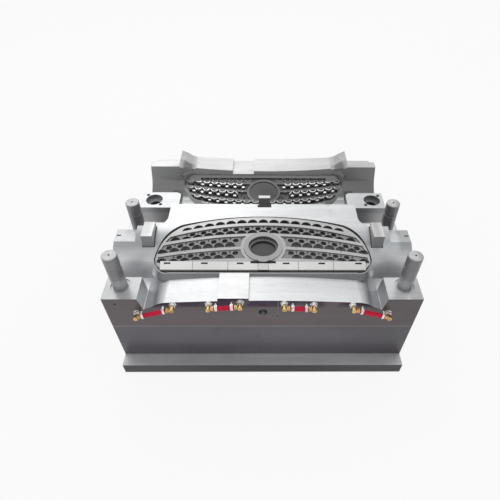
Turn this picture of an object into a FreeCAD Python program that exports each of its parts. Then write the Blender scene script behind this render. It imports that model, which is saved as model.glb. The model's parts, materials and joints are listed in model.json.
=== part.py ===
import FreeCAD, Part
import math
import os
from FreeCAD import Vector

# Injection mould for a vehicle grille, standing open. The core half stands in front with its
# guide pins up. The cavity half stands behind it, turned over so that its hollow faces up.
# Every piece is drawn on the closed mould: X is 0 on the middle of the mould, Y is 0 on the
# front face of the core half, Z is 0 on the floor. The cavity half is then turned over.
# All lengths are millimetres, all angles are degrees.

# Outer sizes of the two halves
mould_width = 1300.0
half_depth = 504.0
clamp_plate_thickness = 63.0
clamp_flange = 61.0
closed_height = 838.0
gap_between_halves = 174.0

# Heights and thicknesses of the ejector box
rail_height = 228.5
rail_thickness = 76.0

# Forms of the core plate
valley_height = 411.0
valley_back = 171.6
shelf_edge_y = 202.0
shelf_edge_height = 482.4
shelf_bulge_y = 262.0
shelf_bulge_height = 533.0
flat_top_y = 350.0
flat_top_height = 560.0
corner_block_width = 142.0
corner_block_depth = 118.0
corner_block_height = 478.0
corner_block_draft = 14.0
corner_block_radius = 20.0
skirt_height = 470.0
skirt_shoulder_x = 397.0
skirt_shoulder_height = 456.0
skirt_bend_x = 430.0
skirt_bend_height = 446.0
skirt_foot_x = 456.0
skirt_foot_height = 428.0
notch_x = 491.0
skirt_reach = 185.0
pad_width = 92.0
pad_front = 271.6
pad_height = 537.0
pry_slot_width = 18.0
pry_slot_length = 8.0
pry_slot_depth = 8.0
pry_slot_inset = 13.0
rear_pocket_x = 431.0
rear_pocket_y = 350.0
rear_pocket_radius = 58.0
rear_pocket_height = 442.5

# The grille form: its outline seen from above and the arc of its surface from front to back
grille_bottom_y = 148.0
grille_bottom_x = 400.0
grille_corner_x = 446.0
grille_corner_y = 161.0
grille_end_x = 459.0
grille_end_y = 195.0
grille_shoulder_x = 425.0
grille_shoulder_y = 285.0
grille_top_x = 355.0
grille_top_end_y = 349.0
grille_top_y = 406.0
surface_front_height = 493.0
surface_middle_y = 275.0
surface_middle_height = 540.0
surface_back_height = 562.5
groove_width = 8.0
groove_depth = 20.0
lip_width = 4.0
lip_drop = 5.0
ledge_drop = 11.0
ramp_width = 16.0
ramp_foot_height = 455.0
ramp_top_height = 481.0
insert_seat_height = 400.0
insert_clearance = 0.1
wall_of_moulding = 3.0
cavity_insert_depth = 84.0
top_end_slope = (0.45, 0.9)

# Rows of the grille: the middle of each bar on the centre line, and how far it has dropped
# towards the front at bar_drop_x
bar_middles = (190.0, 243.0, 307.0, 363.5)
bar_drops = (18.0, 30.0, 42.0, 62.0)
bar_drop_x = 400.0
bar_width = 13.0
rim_width = 10.0
row_recess = 6.0
cell_pitch = 48.0
cell_width = 27.0
cell_depth = 17.0
arch_wall = 4.0
arch_depth = 24.0
arch_foot = 2.0
arch_share = 0.58
thin_row = 28.0
thin_arch_share = 0.88
arch_spring_share = 0.15
hex_depth_share = 0.24
hex_middle_share = 0.30
hex_shoulder_share = 0.55
shut_off_gap = 2.0
dot_size = 3.5
dot_below_bar = 6.0
cavity_band_depth = 10.0
rim_row_reach = 372.0
rim_row_front = 156.0
rim_row_back = 181.0
arch_rib = 4.5

# Centre insert, where the moulding has its plain oval seat
centre_insert_y = 246.0
centre_insert_half_x = 85.0
centre_insert_half_y = 68.0
centre_ring_width = 21.0
centre_ring_rise = 7.0
centre_disc_drop = 24.0
centre_ledge_width = 9.0
centre_ledge_drop = 10.0

# Lifters along the lower rim of the grille
lifter_edges = (22.0, 150.0, 300.0, 438.0)
lifter_rim_depth = 33.0
lifter_foot_of_head = 430.0
lifter_angle = 8.0
lifter_clearance = 0.3
lifter_rod_radius = 11.0
lifter_foot_length = 40.0
lifter_foot_width = 44.0
lifter_neck_width = 28.0
lifter_foot_thickness = 10.0
clip_slot_x = (98.0, 250.0, 408.0)
clip_slot_width = 28.0
clip_slot_front = 171.0
clip_slot_back = 178.0
clip_slot_depth = 9.0
long_slot_half = 54.0
long_slot_front = 174.0
long_slot_back = 184.0
long_slot_depth = 14.0
lifter_rod_overlap = 5.0

# Raised insert in the skirt
skirt_insert_left = -184.0
skirt_insert_right = -58.4
skirt_insert_height = 483.4
skirt_insert_seat = 425.0
skirt_insert_back = 139.0

# Guide pins, their bushes and the running fit between them
pin_inset = 62.5
front_pin_y = 72.4
rear_pin_y = 437.6
pin_radius = 30.0
pin_shank_radius = 36.0
pin_head_radius = 45.0
pin_head_thickness = 20.0
pin_reach = 181.5
pin_groove_width = 5.0
pin_groove_depth = 1.5
pin_grooves = (62.0, 118.0)
pin_centre_radius = 4.0
pin_recess_radius = 41.0
pin_recess_depth = 5.0
pin_tip_chamfer = 3.0
running_gap = 0.05
bush_radius = 42.0
bush_flange_radius = 47.0
bush_flange_thickness = 12.0
bush_length = 120.0
bush_plate_thickness = 35.0
bush_plate_width = 200.0
bush_plate_depth = 130.0
bush_plate_radius = 30.0
bush_plate_hole_radius = 44.0

# Interlock blocks on the shelf and the side lock in the middle of the back
interlock_x = 497.0
interlock_y = 298.0
interlock_width = 48.0
interlock_length = 92.0
interlock_height = 588.0
interlock_seat = 505.0
interlock_gap = 3.0
side_lock_x = 5.0
side_lock_width = 60.0
side_lock_depth = 22.0
side_lock_low = 378.0
side_lock_high = 640.0
side_lock_gap = 2.0

# Ejector assembly
stop_button_radius = 20.0
stop_button_height = 10.0
stop_button_x = (-430.0, -150.0, 150.0, 430.0)
ejector_plate_thickness = 35.0
retainer_plate_thickness = 27.0
ejector_side_gap = 20.0
ejector_plate_gap = 6.0
ejector_stroke = 100.0
ejector_pin_radius = 4.0
ejector_head_radius = 7.0
ejector_head_thickness = 6.0
top_rim_pin_x = (60.0, 180.0, 300.0)
third_bar_pin_x = (120.0, 264.0)
second_bar_pin_x = (144.0, 336.0)
ejector_screw_x = (90.0, 330.0, 480.0)
ejector_screw_front = 100.0
ejector_screw_back = 20.0
retainer_screw_grip = 21.0
return_pin_radius = 15.0
return_head_radius = 20.0
return_head_thickness = 9.0
return_pin_inset = 50.0
return_pin_y = 331.0
front_return_inset = 105.0
front_return_y = 146.0
ejector_guide_inset = 130.0
ejector_guide_y = 252.0
ejector_guide_radius = 15.0
ejector_guide_bush_radius = 22.0
plate_hole_gap = 2.0
pillar_radius = 25.0
pillar_places = ((-440.0, 330.0), (-210.0, 320.0), (0.0, 330.0), (210.0, 320.0), (440.0, 330.0))
knock_out_radius = 25.0
knock_out_y = 252.0

# Screws
plate_screw_radius = 10.0
plate_screw_head_radius = 15.0
plate_screw_head_height = 20.0
plate_screw_grip = 40.0
plate_screw_x = (200.0, 500.0)
small_screw_radius = 6.0
small_screw_head_radius = 9.0
small_screw_head_height = 12.0
small_screw_grip = 24.0
socket_depth_share = 0.5
socket_size_share = 0.55
screw_gap = 0.5
screw_head_sink = 0.5

# Lifting and service holes in the front of the core plate
lifting_hole_radius = 18.75
lifting_hole_depth = 80.0
lifting_hole_height = 393.0
cavity_lifting_height = 200.0
vent_hole_radius = 6.0
vent_hole_depth = 40.0
vent_hole_height = 440.0
block_hole_inset = 49.4
block_hole_depth = 20.0
block_hole_height = 445.0
strap_slot_x = 62.0
strap_slot_width = 5.0
strap_slot_low = 351.0
strap_slot_high = 461.0
strap_slot_depth = 8.0

# Locating ring and sprue bush, below the cavity half as it stands
locating_ring_radius = 75.0
locating_ring_bore = 30.0
locating_ring_thickness = 18.0
sprue_bush_radius = 20.0
sprue_bore_radius = 4.0
sprue_x = 130.0
sprue_y = 275.0

# Cooling hoses on the front face: the two elbows of each as (x, z, x, z)
hose_places = (
    (-521.0, 394.0, -367.0, 448.0),
    (-221.0, 452.0, -92.0, 464.0),
    (86.0, 456.0, 207.0, 449.0),
    (367.0, 446.0, 521.0, 394.0),
)
hose_radius = 10.0
hose_bore = 6.5
hose_standoff = 28.0
elbow_radius = 11.0
elbow_collar_radius = 10.0
elbow_thread_radius = 8.0
elbow_thread_length = 18.0
barb_radius = 6.3
barb_length = 44.0
barb_cover = 24.0
hose_end_gap = 1.0
clip_thickness = 2.5
clip_width = 11.0

# Places worked out from the sizes above
half_width = mould_width / 2.0
pin_x = half_width - pin_inset
return_pin_x = half_width - return_pin_inset
front_return_x = half_width - front_return_inset
ejector_guide_x = half_width - ejector_guide_inset
block_hole_x = block_hole_inset - half_width
pry_slot_x = half_width - pry_slot_inset
ejector_plate_width = mould_width - 2.0 * ejector_side_gap
core_plate_bottom = clamp_plate_thickness + rail_height
cavity_top = closed_height - clamp_plate_thickness
turned_depth = 2.0 * half_depth + gap_between_halves
ejector_bottom = clamp_plate_thickness + stop_button_height
retainer_bottom = ejector_bottom + ejector_plate_thickness
retainer_top = retainer_bottom + retainer_plate_thickness
ejector_front = rail_thickness + ejector_plate_gap
ejector_back = half_depth - rail_thickness - ejector_plate_gap
lifter_lean = math.tan(math.radians(lifter_angle))
bush_plate_low = rear_pocket_height
bush_plate_high = rear_pocket_height + bush_plate_thickness
pad_inner_x = half_width - pad_width
cavity_insert_back = surface_back_height + cavity_insert_depth
tall = 2.0 * closed_height
past = 1.0  # how far a cutting tool runs past a face

saved_nodes = []


def save(name, pieces, turned=False):
    """Write one node, with its origin moved to the middle of the footprint."""
    solids = []
    for piece in pieces:
        solids.extend(piece.Solids)
    shape = solids[0] if len(solids) == 1 else Part.makeCompound(solids)
    shape = shape.copy()
    if turned:
        shape.rotate(Vector(0, 0, 0), Vector(1, 0, 0), 180)
        shape.translate(Vector(0, turned_depth, closed_height))
    shape.translate(Vector(0, -turned_depth / 2.0, 0))
    shape.exportStep("parts/" + name + ".step")
    saved_nodes.append((name, len(solids), shape.isValid(), round(shape.Volume / 1000.0, 2)))


def block(x0, x1, y0, y1, z0, z1):
    return Part.makeBox(x1 - x0, y1 - y0, z1 - z0, Vector(x0, y0, z0))


def rod(x, y, z0, z1, radius):
    return Part.makeCylinder(radius, z1 - z0, Vector(x, y, z0))


def rod_between(start, end, radius):
    return Part.makeCylinder(radius, (end - start).Length, start, end - start)


def polygon_face(points):
    return Part.Face(Part.makePolygon(list(points) + [points[0]]))


def extrude_x(points, x0, x1):
    """Extrude an outline of (y, z) points along X."""
    face = polygon_face([Vector(x0, y, z) for y, z in points])
    return face.extrude(Vector(x1 - x0, 0, 0))


def extrude_z(wire, z0, z1):
    """Extrude a wire that lies at Z 0 between two heights."""
    solid = Part.Face(wire).extrude(Vector(0, 0, z1 - z0))
    solid.translate(Vector(0, 0, z0))
    return solid


def mirrored(shape):
    return shape.mirror(Vector(0, 0, 0), Vector(1, 0, 0))


def on_both_sides(shape):
    return [shape, mirrored(shape)]


def joined(shapes):
    return shapes[0].fuse(shapes[1:]) if len(shapes) > 1 else shapes[0]


def cut_all(shape, tools):
    return shape.cut(tools) if tools else shape


def arc_through(a, b, c):
    return Part.Arc(a, b, c).toShape()


def rounded_corner_block(x0, x1, y0, y1, z0, z1, corner_x, corner_y, radius):
    """A block with one vertical edge rounded: the edge at corner_x, corner_y."""
    solid = block(x0, x1, y0, y1, z0, z1)
    for edge in solid.Edges:
        middle = edge.CenterOfMass
        upright = abs(edge.BoundBox.ZLength - (z1 - z0)) < 0.01
        if upright and abs(middle.x - corner_x) < 0.01 and abs(middle.y - corner_y) < 0.01:
            return solid.makeFillet(radius, [edge])
    return solid


# The grille surface is a cylinder along X: an arc from front to back

def circle_centre(p, q, r):
    ax, ay = p
    bx, by = q
    cx, cy = r
    d = 2.0 * (ax * (by - cy) + bx * (cy - ay) + cx * (ay - by))
    a2 = ax * ax + ay * ay
    b2 = bx * bx + by * by
    c2 = cx * cx + cy * cy
    ux = (a2 * (by - cy) + b2 * (cy - ay) + c2 * (ay - by)) / d
    uy = (a2 * (cx - bx) + b2 * (ax - cx) + c2 * (bx - ax)) / d
    return ux, uy


def surface_circle():
    front = (grille_bottom_y, surface_front_height)
    middle = (surface_middle_y, surface_middle_height)
    back = (grille_top_y, surface_back_height)
    centre = circle_centre(front, middle, back)
    return centre, math.dist(centre, front)


def surface_height(y):
    """Height of the grille surface at a place between front and back."""
    (centre_y, centre_z), radius = surface_circle()
    return centre_z + math.sqrt(radius * radius - (y - centre_y) ** 2)


def below_surface(offset, floor=None):
    """The space below the grille surface moved by offset, down to a floor."""
    front = grille_bottom_y - 3.0 * ramp_width
    back = grille_top_y + 2.0 * ramp_width
    middle = 0.5 * (front + back)
    low = insert_seat_height if floor is None else floor
    x = -half_width
    points = [Vector(x, y, surface_height(y) + offset) for y in (front, middle, back)]
    under_back = Vector(x, back, low)
    under_front = Vector(x, front, low)
    edges = [
        arc_through(*points),
        Part.makeLine(points[2], under_back),
        Part.makeLine(under_back, under_front),
        Part.makeLine(under_front, points[0]),
    ]
    return Part.Face(Part.Wire(edges)).extrude(Vector(mould_width, 0, 0))


def grille_outline(grow=0.0):
    """Outline of the grille from above, moved outwards by grow."""
    slant = grow * math.sqrt(0.5)
    bottom = Vector(grille_bottom_x, grille_bottom_y - grow, 0)
    corner = Vector(grille_corner_x + slant, grille_corner_y - slant, 0)
    end = Vector(grille_end_x + grow, grille_end_y, 0)
    shoulder = Vector(grille_shoulder_x + slant, grille_shoulder_y + slant, 0)
    top_end = Vector(grille_top_x + top_end_slope[0] * grow,
                     grille_top_end_y + top_end_slope[1] * grow, 0)
    top = Vector(0, grille_top_y + grow, 0)

    def flip(point):
        return Vector(-point.x, point.y, 0)

    return Part.Wire([
        Part.makeLine(flip(bottom), bottom),
        arc_through(bottom, corner, end),
        arc_through(end, shoulder, top_end),
        arc_through(top_end, top, flip(top_end)),
        arc_through(flip(top_end), flip(shoulder), flip(end)),
        arc_through(flip(end), flip(corner), flip(bottom)),
    ])


def grille_prism(grow, z0, z1):
    return extrude_z(grille_outline(grow), z0, z1)


# Forms that both halves share

def shelf_form():
    """Side profile of the core plate, over the whole width."""
    x = -half_width
    bulge = Vector(x, shelf_bulge_y, shelf_bulge_height)
    outline = [
        Vector(x, half_depth, flat_top_height),
        Vector(x, half_depth, core_plate_bottom),
        Vector(x, 0, core_plate_bottom),
        Vector(x, 0, valley_height),
        Vector(x, valley_back, valley_height),
        Vector(x, shelf_edge_y, shelf_edge_height),
    ]
    flat_start = Vector(x, flat_top_y, flat_top_height)
    edges = [Part.makeLine(a, b) for a, b in zip(outline, outline[1:])]
    edges.append(arc_through(outline[-1], bulge, flat_start))
    edges.append(Part.makeLine(flat_start, outline[0]))
    return Part.Face(Part.Wire(edges)).extrude(Vector(mould_width, 0, 0))


def skirt_form():
    """The skirt in front of the grille, with its S-shaped sides down to the notches."""
    right = [
        Vector(notch_x, 0, valley_height),
        Vector(skirt_foot_x, 0, skirt_foot_height),
        Vector(skirt_bend_x, 0, skirt_bend_height),
        Vector(skirt_shoulder_x, 0, skirt_shoulder_height),
    ]
    left = [Vector(-p.x, 0, p.z) for p in right]
    top = Vector(0, 0, skirt_height)
    low_right = Vector(notch_x, 0, core_plate_bottom)
    low_left = Vector(-notch_x, 0, core_plate_bottom)
    edges = [
        Part.makeLine(right[0], right[1]),
        arc_through(right[1], right[2], right[3]),
        arc_through(right[3], top, left[3]),
        arc_through(left[3], left[2], left[1]),
        Part.makeLine(left[1], left[0]),
        Part.makeLine(left[0], low_left),
        Part.makeLine(low_left, low_right),
        Part.makeLine(low_right, right[0]),
    ]
    return Part.Face(Part.Wire(edges)).extrude(Vector(0, skirt_reach, 0))


def corner_block_form():
    """One front corner block, with a drafted inner wall and a rounded inner corner."""
    top_x = half_width - corner_block_width
    foot_x = top_x - corner_block_draft
    solid = rounded_corner_block(foot_x, half_width, 0, corner_block_depth, core_plate_bottom,
                                 corner_block_height, foot_x, corner_block_depth,
                                 corner_block_radius)
    wedge = polygon_face([
        Vector(foot_x, 0, valley_height),
        Vector(top_x, 0, corner_block_height),
        Vector(foot_x, 0, corner_block_height),
    ])
    return solid.cut(wedge.extrude(Vector(0, corner_block_depth, 0)))


def pedestal_form():
    """The rise of the core plate around the grille, with its ramp, ledge and lip."""
    outer = groove_width + lip_width
    low = core_plate_bottom
    foot = grille_outline(outer + ramp_width)
    head = grille_outline(outer)
    foot.translate(Vector(0, 0, ramp_foot_height))
    head.translate(Vector(0, 0, ramp_top_height))
    ramp = Part.makeLoft([foot, head], True, True)
    ledge = grille_prism(outer, low, tall).common(below_surface(-ledge_drop, low))
    lip = grille_prism(outer, low, tall).cut(grille_prism(groove_width, low, tall))
    lip = lip.common(below_surface(-lip_drop, low))
    return [ramp, ledge, lip]


def rear_pocket(x0, y0, radius):
    """The open pocket in one rear corner, with its rounded inner corner."""
    return rounded_corner_block(x0, half_width, y0, half_depth, rear_pocket_height, tall,
                                x0, y0, radius)


def core_form(pocket_x, pocket_y, pocket_radius):
    """The outer form of the core plate, which the cavity half closes on."""
    shapes = [shelf_form(), skirt_form()] + on_both_sides(corner_block_form()) + pedestal_form()
    form = joined(shapes)
    pad = block(pad_inner_x, half_width, pad_front, half_depth, pad_height, tall)
    pocket = rear_pocket(pocket_x, pocket_y, pocket_radius)
    return cut_all(form, on_both_sides(pad) + on_both_sides(pocket))


# Grille rows

def bar_radius(drop):
    return (bar_drop_x ** 2 + drop ** 2) / (2.0 * drop)


def bar_y(row, x):
    """Middle of a bar at x, seen from above."""
    radius = bar_radius(bar_drops[row])
    return bar_middles[row] - radius + math.sqrt(radius * radius - x * x)


def top_rim_y(x):
    """Inner edge of the top rim at x."""
    rise = grille_top_y - grille_top_end_y
    radius = (grille_top_x ** 2 + rise ** 2) / (2.0 * rise)
    return grille_top_y - rim_width - radius + math.sqrt(radius * radius - x * x)


def row_edge(row, x, side):
    """Lower (side 0) or upper (side 1) edge of the recess of a row at x."""
    if side == 0:
        return bar_y(row, x) + bar_width / 2.0
    if row + 1 < len(bar_middles):
        return bar_y(row + 1, x) - bar_width / 2.0
    return top_rim_y(x)


def row_region(row):
    """The recess of a row from above: between two bars, inside the rim."""
    reach = grille_end_x
    corners = []
    for side in (0, 1):
        corners.append([Vector(x, row_edge(row, x, side), 0) for x in (-reach, 0, reach)])
    low, high = corners
    wire = Part.Wire([
        arc_through(*low),
        Part.makeLine(low[2], high[2]),
        arc_through(high[2], high[1], high[0]),
        Part.makeLine(high[0], low[0]),
    ])
    return extrude_z(wire, insert_seat_height, tall)


def inside_rim(x, y, margin):
    """Whether a place lies inside the grille outline by a margin."""
    inner = Part.Face(grille_outline(-margin))
    return inner.isInside(Vector(x, y, 0), 0.01, True)


def outside_centre(x, y, margin):
    dx = x / (centre_insert_half_x + margin)
    dy = (y - centre_insert_y) / (centre_insert_half_y + margin)
    return dx * dx + dy * dy > 1.0


def cell_columns():
    count = int(grille_end_x / cell_pitch)
    return range(-count, count + 1)


def hex_cells():
    """Hexagonal holes below each bar, halfway between the arches."""
    cells = []
    for row in range(len(bar_middles)):
        for column in cell_columns():
            x = cell_pitch * (column + 0.5)
            low = row_edge(row, x, 0)
            high = row_edge(row, x, 1)
            row_size = high - low
            if row_size < thin_row:
                continue
            half_y = min(cell_depth / 2.0, hex_depth_share * row_size)
            y = high - hex_middle_share * row_size
            if not inside_rim(x, y, rim_width + half_y):
                continue
            if not outside_centre(x, y, cell_width / 2.0):
                continue
            slope = (row_edge(row, x + half_y, 1) - row_edge(row, x - half_y, 1)) / (2.0 * half_y)
            cells.append((x, y, cell_width / 2.0, half_y, slope))
    return cells


def arch_cells():
    """Arched pockets above each bar, one below each gap between two hexagons."""
    cells = []
    for row in range(len(bar_middles)):
        for column in cell_columns():
            x = cell_pitch * column
            low = row_edge(row, x, 0)
            high = row_edge(row, x, 1)
            row_size = high - low
            share = arch_share if row_size > thin_row else thin_arch_share
            foot = low + arch_foot
            crown = low + share * row_size
            half_x = cell_pitch / 2.0 - arch_wall / 2.0
            if crown - foot < 2.0 * arch_wall:
                continue
            if not inside_rim(x, 0.5 * (foot + crown), rim_width + 0.25 * half_x):
                continue
            if not outside_centre(x, crown, half_x - arch_wall):
                continue
            feet = [row_edge(row, x + way * half_x, 0) + arch_foot for way in (-1.0, 1.0)]
            cells.append((x, feet, half_x, crown))
    return cells


def dot_places():
    """Small pockets just below each bar, one above each arch."""
    dots = []
    for row in range(len(bar_middles)):
        for column in cell_columns():
            x = cell_pitch * column
            y = row_edge(row, x, 1) - dot_below_bar
            thin = row_edge(row, x, 1) - row_edge(row, x, 0) < thin_row
            if thin or not inside_rim(x, y, rim_width + dot_size):
                continue
            if outside_centre(x, y, bar_width + dot_size):
                dots.append((x, y))
    return dots


def hex_prism(x, y, half_x, half_y, slope, z0, z1):
    """A hexagon that leans with the bar above it."""
    shoulder = half_x * hex_shoulder_share
    points = [(half_x, 0), (shoulder, half_y), (-shoulder, half_y),
              (-half_x, 0), (-shoulder, -half_y), (shoulder, -half_y)]
    wire = Part.makePolygon([Vector(x + a, y + b + slope * a, 0) for a, b in points + points[:1]])
    return extrude_z(wire, z0, z1)


def arch_prism(x, feet, half_x, crown, z0, z1, inset=0.0):
    """An arch whose two feet follow the bar below it."""
    left = Vector(x - half_x + inset, feet[0] + inset, 0)
    right = Vector(x + half_x - inset, feet[1] + inset, 0)
    top = Vector(x, crown - inset, 0)
    spring = arch_spring_share * (crown - max(feet))
    left_up = Vector(left.x, left.y + spring, 0)
    right_up = Vector(right.x, right.y + spring, 0)
    wire = Part.Wire([
        Part.makeLine(left, right),
        Part.makeLine(right, right_up),
        arc_through(right_up, top, left_up),
        Part.makeLine(left_up, left),
    ])
    return extrude_z(wire, z0, z1)


def ellipse_prism(half_x, half_y, z0, z1):
    curve = Part.Ellipse(Vector(0, centre_insert_y, 0), half_x, half_y)
    return extrude_z(Part.Wire([curve.toShape()]), z0, z1)


# Lifters

def lifter_spans():
    """Left and right edge of each lifter head, from left to right."""
    right = list(zip(lifter_edges, lifter_edges[1:]))
    left = [(-b, -a) for a, b in reversed(right)]
    return left + right


def lifter_head_outline(gap):
    """Side outline of a lifter head, grown by a gap on its two sliding faces."""
    front_y = grille_bottom_y - gap
    back_y = grille_bottom_y + lifter_rim_depth + gap
    shift = lifter_lean * (surface_front_height - lifter_foot_of_head)
    return front_y, back_y, shift


def lifter_head(x0, x1, gap=0.0, open_top=False):
    front_y, back_y, shift = lifter_head_outline(gap)
    low = lifter_foot_of_head - gap
    rise = tall if open_top else 0.0
    top_front = surface_front_height + rise
    top_back = surface_height(grille_bottom_y + lifter_rim_depth) + rise
    points = [
        (front_y - shift, low),
        (back_y - shift, low),
        (back_y + lifter_lean * (top_back - surface_front_height), top_back),
        (front_y + lifter_lean * rise, top_front),
    ]
    return extrude_x(points, x0 - gap, x1 + gap)


def lifter_axis_y(z):
    """Where the sloping axis of a lifter rod passes a height."""
    middle = grille_bottom_y + lifter_rim_depth / 2.0
    return middle - lifter_lean * (surface_front_height - z)


def lifter_rod(x, z0, z1, radius):
    start = Vector(x, lifter_axis_y(z0), z0)
    end = Vector(x, lifter_axis_y(z1), z1)
    return rod_between(start, end, radius)


def lifter_foot(x, gap=0.0, travel=0.0):
    """The T-shaped foot that slides in the ejector plates."""
    middle = lifter_axis_y(retainer_bottom + lifter_foot_thickness)
    y0 = middle - lifter_foot_length / 2.0 - gap
    y1 = middle + lifter_foot_length / 2.0 + gap + travel
    step = retainer_bottom + lifter_foot_thickness
    half_flange = lifter_foot_width / 2.0 + gap
    half_neck = lifter_neck_width / 2.0 + gap
    low = retainer_bottom - past if travel else retainer_bottom + running_gap
    flange = block(x - half_flange, x + half_flange, y0, y1, low, step + gap)
    neck = block(x - half_neck, x + half_neck, y0, y1, step, retainer_top - lifter_clearance)
    if travel:
        neck = block(x - half_neck, x + half_neck, y0, y1, step, retainer_top + past)
    return flange.fuse(neck)


def lifter_middles():
    return [0.5 * (a + b) for a, b in lifter_spans()]


# Screws and other turned pieces

def socket_screw(x, y, head_face, radius, head_radius, head_height, length, up=True):
    """A socket head screw along Z: head_face is the outer face of its head."""
    way = 1.0 if up else -1.0
    head = Part.makeCylinder(head_radius, head_height, Vector(x, y, head_face), Vector(0, 0, way))
    shank = Part.makeCylinder(radius, head_height + length, Vector(x, y, head_face),
                              Vector(0, 0, way))
    size = head_radius * socket_size_share
    ring = []
    for k in range(7):
        turn = math.radians(60.0 * k)
        ring.append(Vector(x + size * math.cos(turn), y + size * math.sin(turn), head_face))
    socket = Part.Face(Part.makePolygon(ring)).extrude(
        Vector(0, 0, way * head_height * socket_depth_share))
    return head.fuse(shank).cut(socket)


def plate_screw_places():
    places = []
    for x in plate_screw_x:
        for y in (rail_thickness / 2.0, half_depth - rail_thickness / 2.0):
            places.extend([(x, y), (-x, y)])
    return places


def core_screws(grow=0.0):
    screws = []
    length = core_plate_bottom - plate_screw_head_height + plate_screw_grip
    for x, y in plate_screw_places():
        if grow:
            screws.append(rod(x, y, -past, plate_screw_head_height + grow,
                              plate_screw_head_radius + grow))
            screws.append(rod(x, y, 0, plate_screw_head_height + length + grow,
                              plate_screw_radius + grow))
        else:
            screws.append(socket_screw(x, y, screw_head_sink, plate_screw_radius,
                                       plate_screw_head_radius,
                                       plate_screw_head_height - screw_head_sink, length))
    return screws


def cavity_screws(grow=0.0):
    screws = []
    length = clamp_plate_thickness - plate_screw_head_height + plate_screw_grip
    for x, y in plate_screw_places():
        if grow:
            screws.append(rod(x, y, closed_height - plate_screw_head_height - grow, tall,
                              plate_screw_head_radius + grow))
            screws.append(rod(x, y, closed_height - plate_screw_head_height - length - grow, tall,
                              plate_screw_radius + grow))
        else:
            screws.append(socket_screw(x, y, closed_height - screw_head_sink, plate_screw_radius,
                                       plate_screw_head_radius,
                                       plate_screw_head_height - screw_head_sink, length,
                                       up=False))
    return screws


def pin_places():
    """Each guide pin: x, y and the height of the face it stands on."""
    places = []
    for x in (-pin_x, pin_x):
        places.append((x, front_pin_y, corner_block_height))
    for x in (-pin_x, pin_x):
        places.append((x, rear_pin_y, rear_pocket_height))
    return places


def guide_pin(x, y, face):
    top = face + pin_reach
    head = rod(x, y, core_plate_bottom, core_plate_bottom + pin_head_thickness, pin_head_radius)
    shank = rod(x, y, core_plate_bottom, face - pin_recess_depth, pin_shank_radius)
    shaft = rod(x, y, core_plate_bottom, top, pin_radius)
    pin = head.fuse([shank, shaft])
    tools = []
    for height in pin_grooves:
        outer = rod(x, y, face + height, face + height + pin_groove_width, 2.0 * pin_radius)
        inner = rod(x, y, face, top, pin_radius - pin_groove_depth)
        tools.append(outer.cut(inner))
    tools.append(rod(x, y, top - 2.0 * pin_centre_radius, top + past, pin_centre_radius))
    pin = cut_all(pin, tools)
    for edge in pin.Edges:
        if abs(edge.BoundBox.ZMin - top) < 0.01 and edge.Length > 5.0 * pin_radius:
            return pin.makeChamfer(pin_tip_chamfer, [edge])
    return pin


def pin_holes():
    """Holes for the guide pins in the core plate."""
    tools = []
    for x, y, face in pin_places():
        gap = running_gap
        tools.append(rod(x, y, core_plate_bottom - past,
                         core_plate_bottom + pin_head_thickness + gap, pin_head_radius + gap))
        tools.append(rod(x, y, core_plate_bottom, face + past, pin_shank_radius + gap))
        tools.append(rod(x, y, face - pin_recess_depth, face + past, pin_recess_radius))
    return tools


def bush_places():
    """Each guide bush: x, y and the height where its flange starts on the closed mould."""
    places = []
    for x, y, face in pin_places():
        start = face if y == front_pin_y else bush_plate_high
        places.append((x, y, start))
    return places


def guide_bush(x, y, start):
    body = rod(x, y, start, start + bush_length, bush_radius)
    flange = rod(x, y, start, start + bush_flange_thickness, bush_flange_radius)
    bore = rod(x, y, start - past, start + bush_length + past, pin_radius + running_gap)
    return body.fuse(flange).cut(bore)


def bush_holes():
    tools = []
    for (x, y, start), (_, _, face) in zip(bush_places(), pin_places()):
        gap = running_gap
        tools.append(rod(x, y, start - past, start + bush_flange_thickness + gap,
                         bush_flange_radius + gap))
        tools.append(rod(x, y, start, start + bush_length + gap, bush_radius + gap))
        tools.append(rod(x, y, start, face + pin_reach + 2.0 * pin_head_thickness,
                         pin_radius + plate_hole_gap))
    return tools


def bush_screw_places():
    """Screws that hold a bush, on a diagonal across it."""
    places = []
    reach = (bush_flange_radius + small_screw_head_radius) * math.sqrt(0.5)
    for x, y, start in bush_places():
        side = 1.0 if x > 0 else -1.0
        for way in (-1.0, 1.0):
            places.append((x - side * way * reach, y + way * reach, start))
    return places


# Core half

def core_clamp_plate():
    plate = block(-half_width, half_width, -clamp_flange, half_depth + clamp_flange,
                  0, clamp_plate_thickness)
    tools = core_screws(screw_gap)
    tools.append(rod(0, knock_out_y, -past, clamp_plate_thickness + past, knock_out_radius))
    return cut_all(plate, tools)


def rail(y0, y1):
    bar = block(-half_width, half_width, y0, y1, clamp_plate_thickness, core_plate_bottom)
    return cut_all(bar, core_screws(screw_gap))


def interlock_block(side, gap=0.0, low=interlock_seat, high=interlock_height):
    x = side * interlock_x
    half_x = interlock_width / 2.0 + gap
    half_y = interlock_length / 2.0 + gap
    return block(x - half_x, x + half_x, interlock_y - half_y, interlock_y + half_y, low, high)


def side_lock(gap=0.0, low=side_lock_low, high=side_lock_high):
    half_x = side_lock_width / 2.0 + gap
    return block(side_lock_x - half_x, side_lock_x + half_x,
                 half_depth - side_lock_depth - gap, half_depth, low, high)


def skirt_insert(gap=0.0):
    return block(skirt_insert_left - gap, skirt_insert_right + gap, 0, skirt_insert_back,
                 skirt_insert_seat, skirt_insert_height)


def ejector_pin_places():
    """Ejector pins on the bars and the top rim: x, y."""
    places = []
    for x in top_rim_pin_x:
        places.append((x, top_rim_y(x) + rim_width / 2.0))
    for x in third_bar_pin_x:
        places.append((x, bar_y(2, x)))
    for x in second_bar_pin_x:
        places.append((x, bar_y(1, x)))
    return places + [(-x, y) for x, y in places]


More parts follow.
